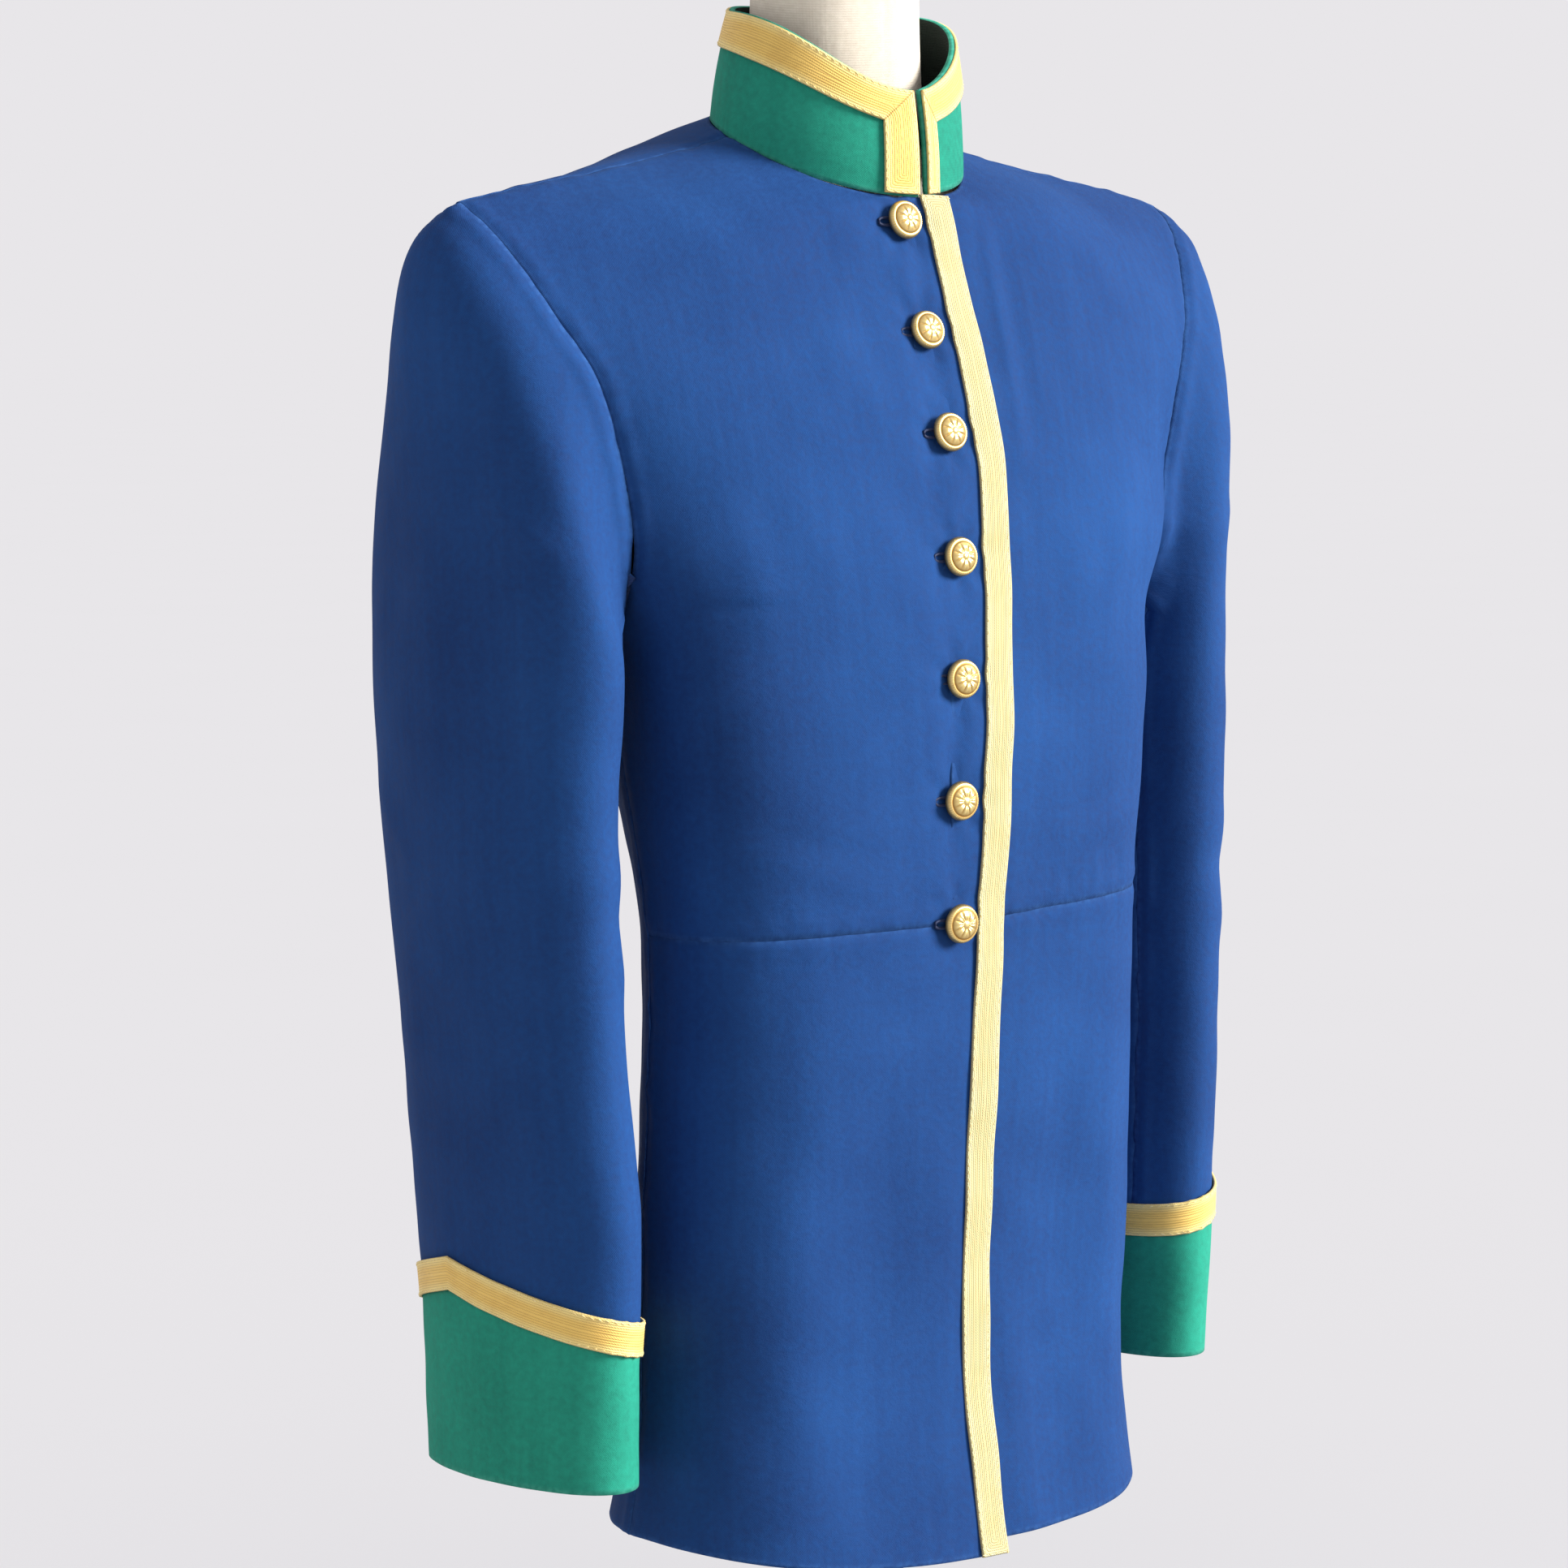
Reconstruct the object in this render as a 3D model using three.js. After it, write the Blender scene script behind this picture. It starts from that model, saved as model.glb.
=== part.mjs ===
// A blue wool hussar jacket with a green stand collar, green cuffs and yellow braid, worn by a
// limbless dress form on a pole and a round base. Millimetres, +Z up. The wearer faces -Y, so the
// wearer's right is -X. The origin is the middle of the base's underside.
import * as THREE from 'three';

// ---------------------------------------------------------------- driving dimensions
const DATUM_HEIGHT = 787; // height above the floor of the level that all garment heights count from
const FORM_AXIS_Y = -33; // the pole's axis in the garment's own frame
const CLOTH = 1.8; // wool cloth wall
const COLLAR_WALL = 2.6; // stiffened collar wall
const BRAID_WALL = 1.3;
const BRAID_WIDTH = 17;
const BRAID_LIFT = 0.35; // gap under a braid
const SEAM_GAP = 0.3;
const PANEL_WIDTH = { front: 190, back: 240, backAtShoulder: 170 }; // turns a seam's gap into a share
const UNDERLAP = 18; // how far the left front reaches past the centre, under the right front
const UNDERLAP_DEPTH = CLOTH + 0.5; // how far the left front lies below the right front
const UNDERLAP_FADE = { from: 34, to: 105 }; // |x| over which the left front comes up to full depth

const COLOURS = {
  blue: 0x2c5599,
  green: 0x257d69,
  yellow: 0xf2d98a,
  gilt: 0xe0c475,
  cream: 0xeae0d0,
  iron: 0x2b2b2d,
};

// ---------------------------------------------------------------- body tables, hem to shoulder
// zc, yc: height and depth on the centre line. edge: how far the overlapping edge passes the centre.
// sx, sy, sz: the side seam, then the armhole edge. reach, swing: the two handles of the row's
// curve as a share of its chord. turn: degrees that the outer handle turns from straight forward
// towards the centre. rise: how much that handle climbs. dip: how much the inner handle falls.
// neck: degrees round the neckline from the centre front, for the rows that start there.
const FRONT_ROWS = [
  { zc: -657, yc: -124, edge: 16, sx: 150, sy: -27, sz: -642, reach: 0.56, swing: 0.40, turn: 0 },
  { zc: -622, yc: -120, edge: 13, sx: 146, sy: -28, sz: -608, reach: 0.56, swing: 0.40, turn: 0 },
  { zc: -560, yc: -114, edge: 10, sx: 143, sy: -29, sz: -550, reach: 0.57, swing: 0.40, turn: 0 },
  { zc: -486, yc: -115, edge: 10, sx: 143, sy: -30, sz: -482, reach: 0.58, swing: 0.42, turn: 0 },
  { zc: -424, yc: -118, edge: 11, sx: 141, sy: -31, sz: -424, reach: 0.60, swing: 0.44, turn: -2 },
  { zc: -335, yc: -121, edge: 14, sx: 141, sy: -30, sz: -340, reach: 0.60, swing: 0.44, turn: -3 },
  { zc: -290, yc: -121, edge: 16, sx: 143, sy: -26, sz: -300, reach: 0.60, swing: 0.45, turn: -4 },
  { zc: -240, yc: -120, edge: 19, sx: 148, sy: -18, sz: -250, reach: 0.60, swing: 0.47, turn: -6 },
  { zc: -190, yc: -117, edge: 22, sx: 152, sy: -10, sz: -200, reach: 0.60, swing: 0.48, turn: -8 },
  { zc: -140, yc: -111, edge: 24, sx: 167, sy: -58, sz: -159, reach: 0.52, swing: 0.3, turn: 24 },
  { zc: -90, yc: -102, edge: 25, sx: 171, sy: -59, sz: -119, reach: 0.47, swing: 0.3, turn: 44, rise: 0.02 },
  { zc: -45, yc: -87, edge: 23.5, sx: 183, sy: -57, sz: -75, reach: 0.42, swing: 0.3, turn: 56, rise: 0.08 },
  { zc: -8, yc: -75, edge: 21.5, sx: 191, sy: -52, sz: -55, reach: 0.39, swing: 0.3, turn: 62, rise: 0.12 },
  {
    zc: 23, yc: -66, edge: 19, sx: 201, sy: -43, sz: -36,
    reach: 0.36, swing: 0.3, turn: 68, rise: 0.16, neck: 0,
  },
  { edge: 19, sx: 210, sy: -28, sz: -12, reach: 0.34, swing: 0.3, turn: 74, rise: 0.2, dip: 0.1, neck: 32 },
  { edge: 19, sx: 219, sy: -9, sz: 9, reach: 0.33, swing: 0.3, turn: 82, rise: 0.23, dip: 0.2, neck: 64 },
  { edge: 19, sx: 223, sy: 10, sz: 20, reach: 0.32, swing: 0.3, turn: 90, rise: 0.24, dip: 0.3, neck: 95 },
];
const BACK_ROWS = [
  { zc: -645, yc: 77, sx: 150, sy: -27, sz: -642, reach: 0.46, swing: 0.34, turn: 12 },
  { zc: -610, yc: 69, sx: 146, sy: -28, sz: -608, reach: 0.46, swing: 0.33, turn: 12 },
  { zc: -550, yc: 58, sx: 143, sy: -29, sz: -550, reach: 0.46, swing: 0.31, turn: 14 },
  { zc: -482, yc: 48, sx: 143, sy: -30, sz: -482, reach: 0.46, swing: 0.29, turn: 18 },
  { zc: -424, yc: 43, sx: 141, sy: -31, sz: -424, reach: 0.46, swing: 0.28, turn: 20 },
  { zc: -345, yc: 47, sx: 141, sy: -30, sz: -340, reach: 0.46, swing: 0.28, turn: 20 },
  { zc: -298, yc: 56, sx: 143, sy: -26, sz: -300, reach: 0.47, swing: 0.3, turn: 16 },
  { zc: -246, yc: 67, sx: 148, sy: -18, sz: -250, reach: 0.48, swing: 0.33, turn: 8 },
  { zc: -192, yc: 77, sx: 152, sy: -10, sz: -200, reach: 0.50, swing: 0.36, turn: 4 },
  { zc: -145, yc: 84, sx: 157, sy: 30, sz: -168, reach: 0.48, swing: 0.3, turn: 26 },
  { zc: -95, yc: 88, sx: 164, sy: 50, sz: -130, reach: 0.46, swing: 0.28, turn: 50, rise: 0.02 },
  { zc: -45, yc: 89, sx: 173, sy: 59, sz: -90, reach: 0.44, swing: 0.28, turn: 60, rise: 0.06 },
  { zc: 0, yc: 87, sx: 186, sy: 60, sz: -52, reach: 0.40, swing: 0.28, turn: 66, rise: 0.1, dip: 0.02 },
  { zc: 36, yc: 79, sx: 198, sy: 54, sz: -29, reach: 0.38, swing: 0.28, turn: 70, rise: 0.14, dip: 0.06 },
  {
    zc: 66, yc: 64, sx: 205, sy: 46, sz: -10,
    reach: 0.36, swing: 0.28, turn: 75, rise: 0.18, dip: 0.14, neck: 180,
  },
  { sx: 214, sy: 36, sz: 3, reach: 0.34, swing: 0.3, turn: 80, rise: 0.2, dip: 0.2, neck: 152 },
  { sx: 220, sy: 24, sz: 13, reach: 0.33, swing: 0.3, turn: 85, rise: 0.22, dip: 0.26, neck: 124 },
  { sx: 223, sy: 10, sz: 20, reach: 0.32, swing: 0.3, turn: 90, rise: 0.24, dip: 0.3, neck: 95 },
];
const FRONT = { rows: FRONT_ROWS, facing: -1, corner: 13, waist: 5, armpit: 8 };
const BACK = { rows: BACK_ROWS, facing: 1, corner: 14, armpit: 8 };
const LEFT_WAIST = { rise: 0.33, fade: 2.2 }; // in table rows
const LEFT_HEM = { rise: 0.29, fade: 1.2 }; // the left skirt is cut a little shorter
const STEPS_PER_ROW = 2; // mesh rows between two table rows
const FRONT_COLUMNS = 12;
const BACK_COLUMNS = 10;
const OVERLAP_COLUMNS = 2;

// The neckline is a tilted ring; the collar stands on it and closes in a little towards its top.
const NECK = { radius: 65, y: -1, zFront: 23, zBack: 80, backDrop: 14 };
const COLLAR_TOP = { halfWidth: 58, halfDepth: 55, y: -6, zFront: 76, zBack: 135, sideRise: 13 };
const COLLAR_ENDS = { right: -1.8, left: 353.6 }; // degrees round the neck of the two front ends
const COLLAR_BOW = 1.5; // how far the collar bows out halfway up
const COLLAR_FOOT = 0.022; // the collar starts just above the neckline, as a share of its height
const COLLAR_HEIGHT = 52; // at the front, along the cloth
const RISE_TURNS = 1.4; // the side rise is a half wave over 180 / 1.4 degrees from the front
const BRAID_INSET = 0.4; // degrees in from the collar's end
const BAND_TOP = 0.995; // the braid ends just below the collar's edge

// Sleeve rings, top to bottom: cx, cy the middle, hx, hy the half widths, tilt how much higher the
// outer side is than the middle, yaw how far the back of the ring turns outwards, in degrees.
const SLEEVE_RINGS = [
  { z: -200, cx: 200, cy: 13, hx: 37.5, hy: 91, tilt: 35, yaw: 4 },
  { z: -255, cx: 202, cy: 11, hx: 36.5, hy: 86.5, tilt: 16, yaw: 4 },
  { z: -320, cx: 201, cy: 7.5, hx: 35.5, hy: 82.5, tilt: 4, yaw: 3.2 },
  { z: -400, cx: 196, cy: 5, hx: 34, hy: 80.5, tilt: 0, yaw: 3 },
  { z: -480, cx: 191.5, cy: 0, hx: 34, hy: 79, tilt: 0, yaw: 4.5 },
  { z: -550, cx: 190.5, cy: -1, hx: 33, hy: 75, tilt: 0, yaw: 5 },
  { z: -604, cx: 190, cy: -1, hx: 32.5, hy: 70.5, tilt: 0, yaw: 5 },
];
// The right sleeve hangs a little lower than the table says, and the left one higher.
const SLEEVE_HEM = { right: -608, left: -587 };
const SLEEVE_STRETCH = { from: 200, to: 480 }; // where the shift to the hem's height fades in
// The left sleeve's upper arm also lies a little further back.
const SLEEVE_BACK = { right: 0, left: 5, from: 60, full: 200, fade: 300, to: 500 };
// How the sleeve head leaves the armhole: outwards at the side and at the top, forwards or backwards,
// falling at the armpit and rising at the shoulder. reach, drop: the lengths of its two handles, as
// a share of the chord. tip: how far the outward side of the head is tipped up.
const HEAD_OUT = {
  side: 0.35,
  top: 0.65,
  front: 0,
  back: 0.7,
  fall: 0.9,
  rise: 0.26,
  reach: 0.8,
  drop: 0.95,
  tip: 0.5,
};
const HEAD_GAP = SEAM_GAP + 0.2; // the straight mesh edges of armhole and sleeve head stay apart
const SLEEVE_HEAD_ROWS = 6;
const SLEEVE_ROWS = 8;
const SLEEVE_COLUMNS = { top: 21, under: 7 }; // of equal width, all round
const CUFF = { low: 65, peak: 28, apex: -16, lift: 0.6, rows: 3, halfX: 32, halfY: 75 };

const BUTTONS = [
  { z: 11, fromEdge: 31 },
  { z: -43, fromEdge: 33 },
  { z: -93, fromEdge: 33 },
  { z: -154, fromEdge: 33 },
  { z: -214, fromEdge: 33 },
  { z: -274, fromEdge: 31.5 },
  { z: -335, fromEdge: 30 },
];
const BUTTON = {
  radius: 9.8,
  rim: 1.2,
  dome: 4.6,
  bevel: 0.5,
  shankRadius: 2.6,
  shank: 2.2,
  segments: 16,
};

// Dress form, bottom to top: half width, front and back depth, and how round each section is.
const FORM_ROWS = [
  { z: -560, half: 116, front: -94, back: 32, power: 2.2 },
  { z: -548, half: 125, front: -101, back: 40, power: 2.2 },
  { z: -480, half: 126, front: -104, back: 33, power: 2.2 },
  { z: -400, half: 123, front: -107, back: 27, power: 2.2 },
  { z: -347, half: 123, front: -109, back: 31, power: 2.2 },
  { z: -290, half: 126, front: -109, back: 42, power: 2.2 },
  { z: -240, half: 131, front: -107, back: 53, power: 2.2 },
  { z: -190, half: 136, front: -103, back: 63, power: 2.2 },
  { z: -140, half: 139, front: -95, back: 70, power: 2.1 },
  { z: -95, half: 146, front: -84, back: 73, power: 2.0 },
  { z: -55, half: 156, front: -70, back: 73, power: 1.8 },
  { z: -25, half: 164, front: -58, back: 68, power: 1.6 },
  { z: 0, half: 168, front: -46, back: 60, power: 1.45 },
];
// share: how far out along the shoulder seam. under: the gap to the cloth above.
const FORM_SHOULDER_ROWS = [
  { share: 0.72, under: 0.5, front: -32, back: 50, power: 1.1 },
  { share: 0.5, under: 0.45, front: -32, back: 50, power: 1.02 },
  { share: 0.3, under: 0.6, front: -34, back: 50, power: 0.98 },
  { share: 0.12, under: 3, front: -35, back: 50, power: 0.9 },
];
const FORM_NECK_ROWS = [
  { z: 50, half: 52, front: -42, back: 50, power: 1.5 },
  { z: 62, half: 48, front: -45, back: 50, power: 1.9 },
  { z: 88, half: 44, front: -42, back: 45, power: 2.0 },
  { z: 150, half: 43, front: -43, back: 43, power: 2.0 },
];
const FORM_COLUMNS = 32;
const NECK_CAP = { z: 150.4, radius: 40, height: 7, edge: 2.5, y: 0, segments: 36 };
const POLE_RADIUS = 16;
const BASE = { radius: 155, height: 14, edge: 5, segments: 48 };

// ---------------------------------------------------------------- curves
const rad = THREE.MathUtils.degToRad;
const smooth = (low, high, x) => THREE.MathUtils.smoothstep(x, low, high);

// Catmull-Rom through one column of a table, between rows first and last.
function column(rows, name, v, first = 0, last = rows.length - 1) {
  const clamped = THREE.MathUtils.clamp(v, first, last);
  const i = Math.min(Math.floor(clamped), last - 1);
  const t = clamped - i;
  const value = (k) => rows[THREE.MathUtils.clamp(k, first, last)][name] ?? 0;
  const [p0, p1, p2, p3] = [value(i - 1), value(i), value(i + 1), value(i + 2)];
  const bend = (2 * p0 - 5 * p1 + 4 * p2 - p3) * t * t + (3 * p1 - p0 - 3 * p2 + p3) * t * t * t;
  return 0.5 * (2 * p1 + (p2 - p0) * t + bend);
}

// The height of a tilted ring round the neck, which levels off behind.
function neckHeight(a, zFront, zBack) {
  const back = Math.max(0, -Math.cos(a)) ** 2;
  return THREE.MathUtils.lerp(zFront, zBack, (1 - Math.cos(a)) / 2) - NECK.backDrop * back;
}

// A point on the neckline, degrees round from the centre front towards the wearer's right.
function necklinePoint(degrees) {
  const a = rad(degrees);
  const z = neckHeight(a, NECK.zFront, NECK.zBack);
  return new THREE.Vector3(-NECK.radius * Math.sin(a), NECK.y - NECK.radius * Math.cos(a), z);
}

// The side seam below the armpit is shared by front and back, so it doesn't bend into the armhole.
function sideColumn({ rows, armpit }, name, v) {
  return v <= armpit ? column(rows, name, v, 0, armpit) : column(rows, name, v, armpit);
}

function rowEnds(panel, v) {
  const { rows, facing, corner } = panel;
  const get = (name) => column(rows, name, v);
  const onNeck = v > corner;
  const inner = onNeck
    ? necklinePoint(column(rows, 'neck', v, corner))
    : new THREE.Vector3(0, column(rows, 'yc', v, 0, corner), column(rows, 'zc', v, 0, corner));
  const [sx, sy, sz] = ['sx', 'sy', 'sz'].map((name) => sideColumn(panel, name, v));
  const outer = new THREE.Vector3(-sx, sy, sz);
  const chord = inner.distanceTo(outer);
  const innerHandle = new THREE.Vector3(-1, 0, -get('dip')).setLength(get('reach') * chord);
  const turn = rad(get('turn'));
  const outerHandle = new THREE.Vector3(Math.sin(turn), facing * Math.cos(turn), get('rise'));
  outerHandle.setLength(get('swing') * chord);
  return [inner, inner.clone().add(innerHandle), outer.clone().add(outerHandle), outer];
}

// The outer face of the cloth on the wearer's right. A negative u is past the centre line.
function bodyPoint(panel, u, v) {
  const curve = new THREE.CubicBezierCurve3(...rowEnds(panel, v));
  const point = curve.getPoint(Math.abs(u));
  if (u < 0) point.x = -point.x;
  return point;
}

// The direction out of the body: one smooth field, so that panels which meet share their edges.
const BODY_FIELD = {
  y: -5, // the middle's depth at the chest
  waistY: -32, // and at the waist
  waistZ: -360,
  z: -150, // above this the field tips upwards
  width: 230,
  depth: 100,
  height: 170,
};
function bodyOut(point) {
  const f = BODY_FIELD;
  const y = THREE.MathUtils.lerp(f.waistY, f.y, smooth(f.waistZ, f.z, point.z));
  const up = Math.max(0, point.z - f.z) / f.height ** 2;
  return new THREE.Vector3(point.x / f.width ** 2, (point.y - y) / f.depth ** 2, up).normalize();
}

function normalOf(surface, u, v, outward) {
  const du = surface(u + 1e-3, v).sub(surface(u - 1e-3, v));
  const dv = surface(u, v + 1e-3).sub(surface(u, v - 1e-3));
  const normal = du.cross(dv).normalize();
  return normal.dot(outward) < 0 ? normal.negate() : normal;
}

const LEAST_FACING = 0.65; // limits the shift where the field and the cloth's normal part

// Moves a body point out (or in) by a distance measured square to the cloth.
function moved(panel, u, v, distance) {
  const point = bodyPoint(panel, u, v);
  const out = bodyOut(point);
  const top = panel.rows.length - 1.01;
  const normal = normalOf((a, b) => bodyPoint(panel, a, b), u, THREE.MathUtils.clamp(v, 0.01, top), out);
  return point.addScaledVector(out, distance / Math.max(LEAST_FACING, normal.dot(out)));
}

// The u at which a row is a given distance from the centre line.
function uAtWidth(panel, v, width) {
  let [low, high] = [0, 0.6];
  for (let i = 0; i < 30; i += 1) {
    const middle = (low + high) / 2;
    if (-bodyPoint(panel, middle, v).x < width) low = middle;
    else high = middle;
  }
  return (low + high) / 2;
}

// ---------------------------------------------------------------- solids
// A closed wall between two grids of points. keep(i, j) says which cells of the grid exist.
function wall(outer, inner, { closed = false, keep = () => true } = {}) {
  const rows = outer.length;
  const columns = outer[0].length;
  const index = (side, i, j) => side * rows * columns + i * columns + (j % columns);
  const quads = [];
  const edges = new Map();
  for (let i = 0; i < rows - 1; i += 1) {
    for (let j = 0; j < (closed ? columns : columns - 1); j += 1) {
      if (!keep(i, j)) continue;
      const corners = [[i, j], [i, j + 1], [i + 1, j + 1], [i + 1, j]];
      quads.push(corners.map(([a, b]) => index(0, a, b)));
      quads.push(corners.map(([a, b]) => index(1, a, b)).reverse());
      for (let k = 0; k < 4; k += 1) {
        const [from, to] = [corners[k], corners[(k + 1) % 4]];
        const [a, b] = [index(0, ...from), index(0, ...to)];
        if (edges.has(`${b},${a}`)) edges.delete(`${b},${a}`);
        else edges.set(`${a},${b}`, [b, a, index(1, ...from), index(1, ...to)]);
      }
    }
  }
  quads.push(...edges.values());
  return solid([...outer.flat(), ...inner.flat()], quads);
}

// A closed solid from points and quads, turned the right way out.
function solid(points, quads) {
  const used = [...new Set(quads.flat())];
  const renumbered = new Map(used.map((old, k) => [old, k]));
  const triangles = quads.flatMap((q) => (q.length === 4
    ? [[q[0], q[1], q[2]], [q[0], q[2], q[3]]]
    : [q]));
  let volume = 0;
  for (const [a, b, c] of triangles) volume += points[a].dot(points[b].clone().cross(points[c]));
  const turned = volume < 0 ? triangles.map((t) => [...t].reverse()) : triangles;
  const geometry = new THREE.BufferGeometry();
  const flat = used.flatMap((k) => points[k].toArray());
  geometry.setAttribute('position', new THREE.Float32BufferAttribute(flat, 3));
  geometry.setIndex(turned.flat().map((k) => renumbered.get(k)));
  geometry.computeVertexNormals();
  return geometry;
}

function grid(rowValues, columnValues, point) {
  return rowValues.map((v) => columnValues.map((u) => point(u, v)));
}

function spread(from, to, count) {
  return Array.from({ length: count + 1 }, (_, i) => from + ((to - from) * i) / count);
}

function tableSteps(from, to) {
  const count = Math.round((to - from) * STEPS_PER_ROW);
  return spread(from, to, count);
}

const garment = new THREE.Group();
garment.position.set(0, -FORM_AXIS_Y, DATUM_HEIGHT);
const group = new THREE.Group();
group.add(garment);

function add(parent, name, geometry, colour, finish = {}) {
  const settings = { color: colour, roughness: 0.85, metalness: 0, ...finish };
  const material = new THREE.MeshStandardMaterial(settings);
  const mesh = new THREE.Mesh(geometry, material);
  mesh.name = name;
  parent.add(mesh);
  return mesh;
}

const mirrored = (side) => (point) => point.setX(point.x * -side);
const SIDES = [{ name: 'right', side: -1 }, { name: 'left', side: 1 }];

// ---------------------------------------------------------------- fronts and backs
// The left front lies under the right front near the centre.
function underlap(side, point) {
  if (side < 0) return 0;
  return UNDERLAP_DEPTH * (1 - smooth(UNDERLAP_FADE.from, UNDERLAP_FADE.to, -point.x));
}

// A gap in millimetres as a share of one table row.
const trimV = (panel, v, gap) => {
  const lower = bodyPoint(panel, 0.5, Math.max(0, v - 0.5));
  const upper = bodyPoint(panel, 0.5, Math.min(panel.rows.length - 1, v + 0.5));
  return gap / lower.distanceTo(upper);
};

// Column positions of a front: first past the centre line, then from it to the side.
function frontColumns(side, v, sideShare) {
  const width = side < 0 ? column(FRONT_ROWS, 'edge', v) : UNDERLAP;
  const past = uAtWidth(FRONT, Math.min(v, FRONT.corner), width);
  return [...spread(-past, 0, OVERLAP_COLUMNS), ...spread(0, sideShare, FRONT_COLUMNS).slice(1)];
}

// The jacket's left: its hem is shorter, and the front's waist seam climbs towards the side.
function slanted(panel, side, u, v) {
  if (side < 0) return v;
  const near = (row, fade) => Math.exp(-(((v - row) / fade) ** 2));
  const waist = panel === FRONT ? Math.max(0, u) * near(FRONT.waist, LEFT_WAIST.fade) : 0;
  return v + LEFT_HEM.rise * near(0, LEFT_HEM.fade) + LEFT_WAIST.rise * waist;
}

function clothGrid(panel, side, rowValues, columnsAt, depth) {
  return rowValues.map((row) => columnsAt(row).map((u) => {
    const v = slanted(panel, side, u, row);
    const sunk = underlap(panel === FRONT ? side : -1, bodyPoint(panel, u, v));
    return mirrored(side)(moved(panel, u, v, -depth - sunk));
  }));
}

function addFront(name, side, from, to) {
  const sideShare = 1 - SEAM_GAP / 2 / PANEL_WIDTH.front;
  const rowValues = tableSteps(Math.round(from), Math.round(to));
  rowValues[0] = from;
  rowValues[rowValues.length - 1] = to;
  const columnsAt = (v) => frontColumns(side, v, sideShare);
  const grids = [0, CLOTH].map((depth) => clothGrid(FRONT, side, rowValues, columnsAt, depth));
  const keep = (i, j) => j >= OVERLAP_COLUMNS || rowValues[i] < FRONT.corner - 0.01;
  add(garment, name, wall(...grids, { keep }), COLOURS.blue);
}

function addBack(name, side) {
  const nearCentre = SEAM_GAP / 2 / PANEL_WIDTH.back;
  const last = BACK_ROWS.length - 1;
  const rowValues = tableSteps(0, last);
  rowValues[rowValues.length - 1] = last - trimV(BACK, last, SEAM_GAP);
  const columnsAt = () => spread(nearCentre, 1 - SEAM_GAP / 2 / PANEL_WIDTH.backAtShoulder, BACK_COLUMNS);
  const grids = [0, CLOTH].map((depth) => clothGrid(BACK, side, rowValues, columnsAt, depth));
  add(garment, name, wall(...grids), COLOURS.blue);
}

const waistTrim = trimV(FRONT, FRONT.waist, SEAM_GAP / 2);
const shoulderRow = FRONT_ROWS.length - 1;
const shoulderTrim = trimV(FRONT, shoulderRow, SEAM_GAP / 2);
for (const { name, side } of SIDES) {
  addFront(`front_${name}`, side, FRONT.waist + waistTrim, shoulderRow - shoulderTrim);
  addFront(`skirt_${name}`, side, 0, FRONT.waist - waistTrim);
  addBack(`back_${name}`, side);
}

// Braid down the edge of the right front.
{
  const rowValues = tableSteps(0, FRONT.corner);
  const at = (v) => {
    const edge = column(FRONT_ROWS, 'edge', v);
    return spread(edge, edge - BRAID_WIDTH, 2).map((x) => -Math.sign(x) * uAtWidth(FRONT, v, Math.abs(x)));
  };
  const layer = (height) => rowValues.map((v) => at(v).map((u) => moved(FRONT, u, v, height)));
  const [low, high] = [BRAID_LIFT, BRAID_LIFT + BRAID_WALL].map(layer);
  add(garment, 'front_braid', wall(high, low), COLOURS.yellow);
}

// ---------------------------------------------------------------- collar and its braid
function collarPoint(degrees, h, lift = 0) {
  const a = rad(degrees);
  const low = necklinePoint(degrees);
  const fromFront = Math.min(Math.PI - Math.abs(Math.PI - a), Math.PI / RISE_TURNS);
  const sideRise = COLLAR_TOP.sideRise * Math.sin(RISE_TURNS * fromFront) ** 2;
  const zTop = neckHeight(a, COLLAR_TOP.zFront, COLLAR_TOP.zBack) + sideRise;
  const topY = COLLAR_TOP.y - COLLAR_TOP.halfDepth * Math.cos(a);
  const top = new THREE.Vector3(-COLLAR_TOP.halfWidth * Math.sin(a), topY, zTop);
  const out = new THREE.Vector3(-Math.sin(a), -Math.cos(a), 0);
  const bow = COLLAR_BOW * Math.sin(Math.PI * h);
  return low.lerp(top, h).addScaledVector(out, bow + lift);
}

{
  const around = spread(COLLAR_ENDS.right, COLLAR_ENDS.left, 36);
  const heights = spread(COLLAR_FOOT, 1, 3);
  const layer = (lift) => grid(heights, around, (d, h) => collarPoint(d, h, lift));
  const [outer, inner] = [0, -COLLAR_WALL].map(layer);
  add(garment, 'collar', wall(outer, inner), COLOURS.green);
}

// Each half of the collar braid runs down the front end, turns the corner and follows the top.
// The left one's end strip is partly tucked away behind the right end.
function addCollarBraid(name, endDegrees, backDegrees, stripWidth) {
  const direction = Math.sign(backDegrees - endDegrees);
  const stripDegrees = (direction * stripWidth * 180) / (Math.PI * NECK.radius);
  const inset = direction * BRAID_INSET;
  const start = endDegrees + inset;
  const corner = start + stripDegrees;
  const around = [...spread(start, corner, 2), ...spread(corner, backDegrees, 16).slice(1)];
  const bandFoot = 1 - BRAID_WIDTH / COLLAR_HEIGHT;
  const heights = [...spread(COLLAR_FOOT, bandFoot, 3), ...spread(bandFoot, BAND_TOP, 2).slice(1)];
  const lifts = [BRAID_LIFT + BRAID_WALL, BRAID_LIFT];
  const [outer, inner] = lifts.map((lift) => grid(heights, around, (d, h) => collarPoint(d, h, lift)));
  add(garment, name, wall(outer, inner, { keep: (i, j) => j < 2 || i >= 3 }), COLOURS.yellow);
}
addCollarBraid('collar_braid_right', COLLAR_ENDS.right, 179.9, 20);
addCollarBraid('collar_braid_left', COLLAR_ENDS.left, 180.1, 8);

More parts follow.
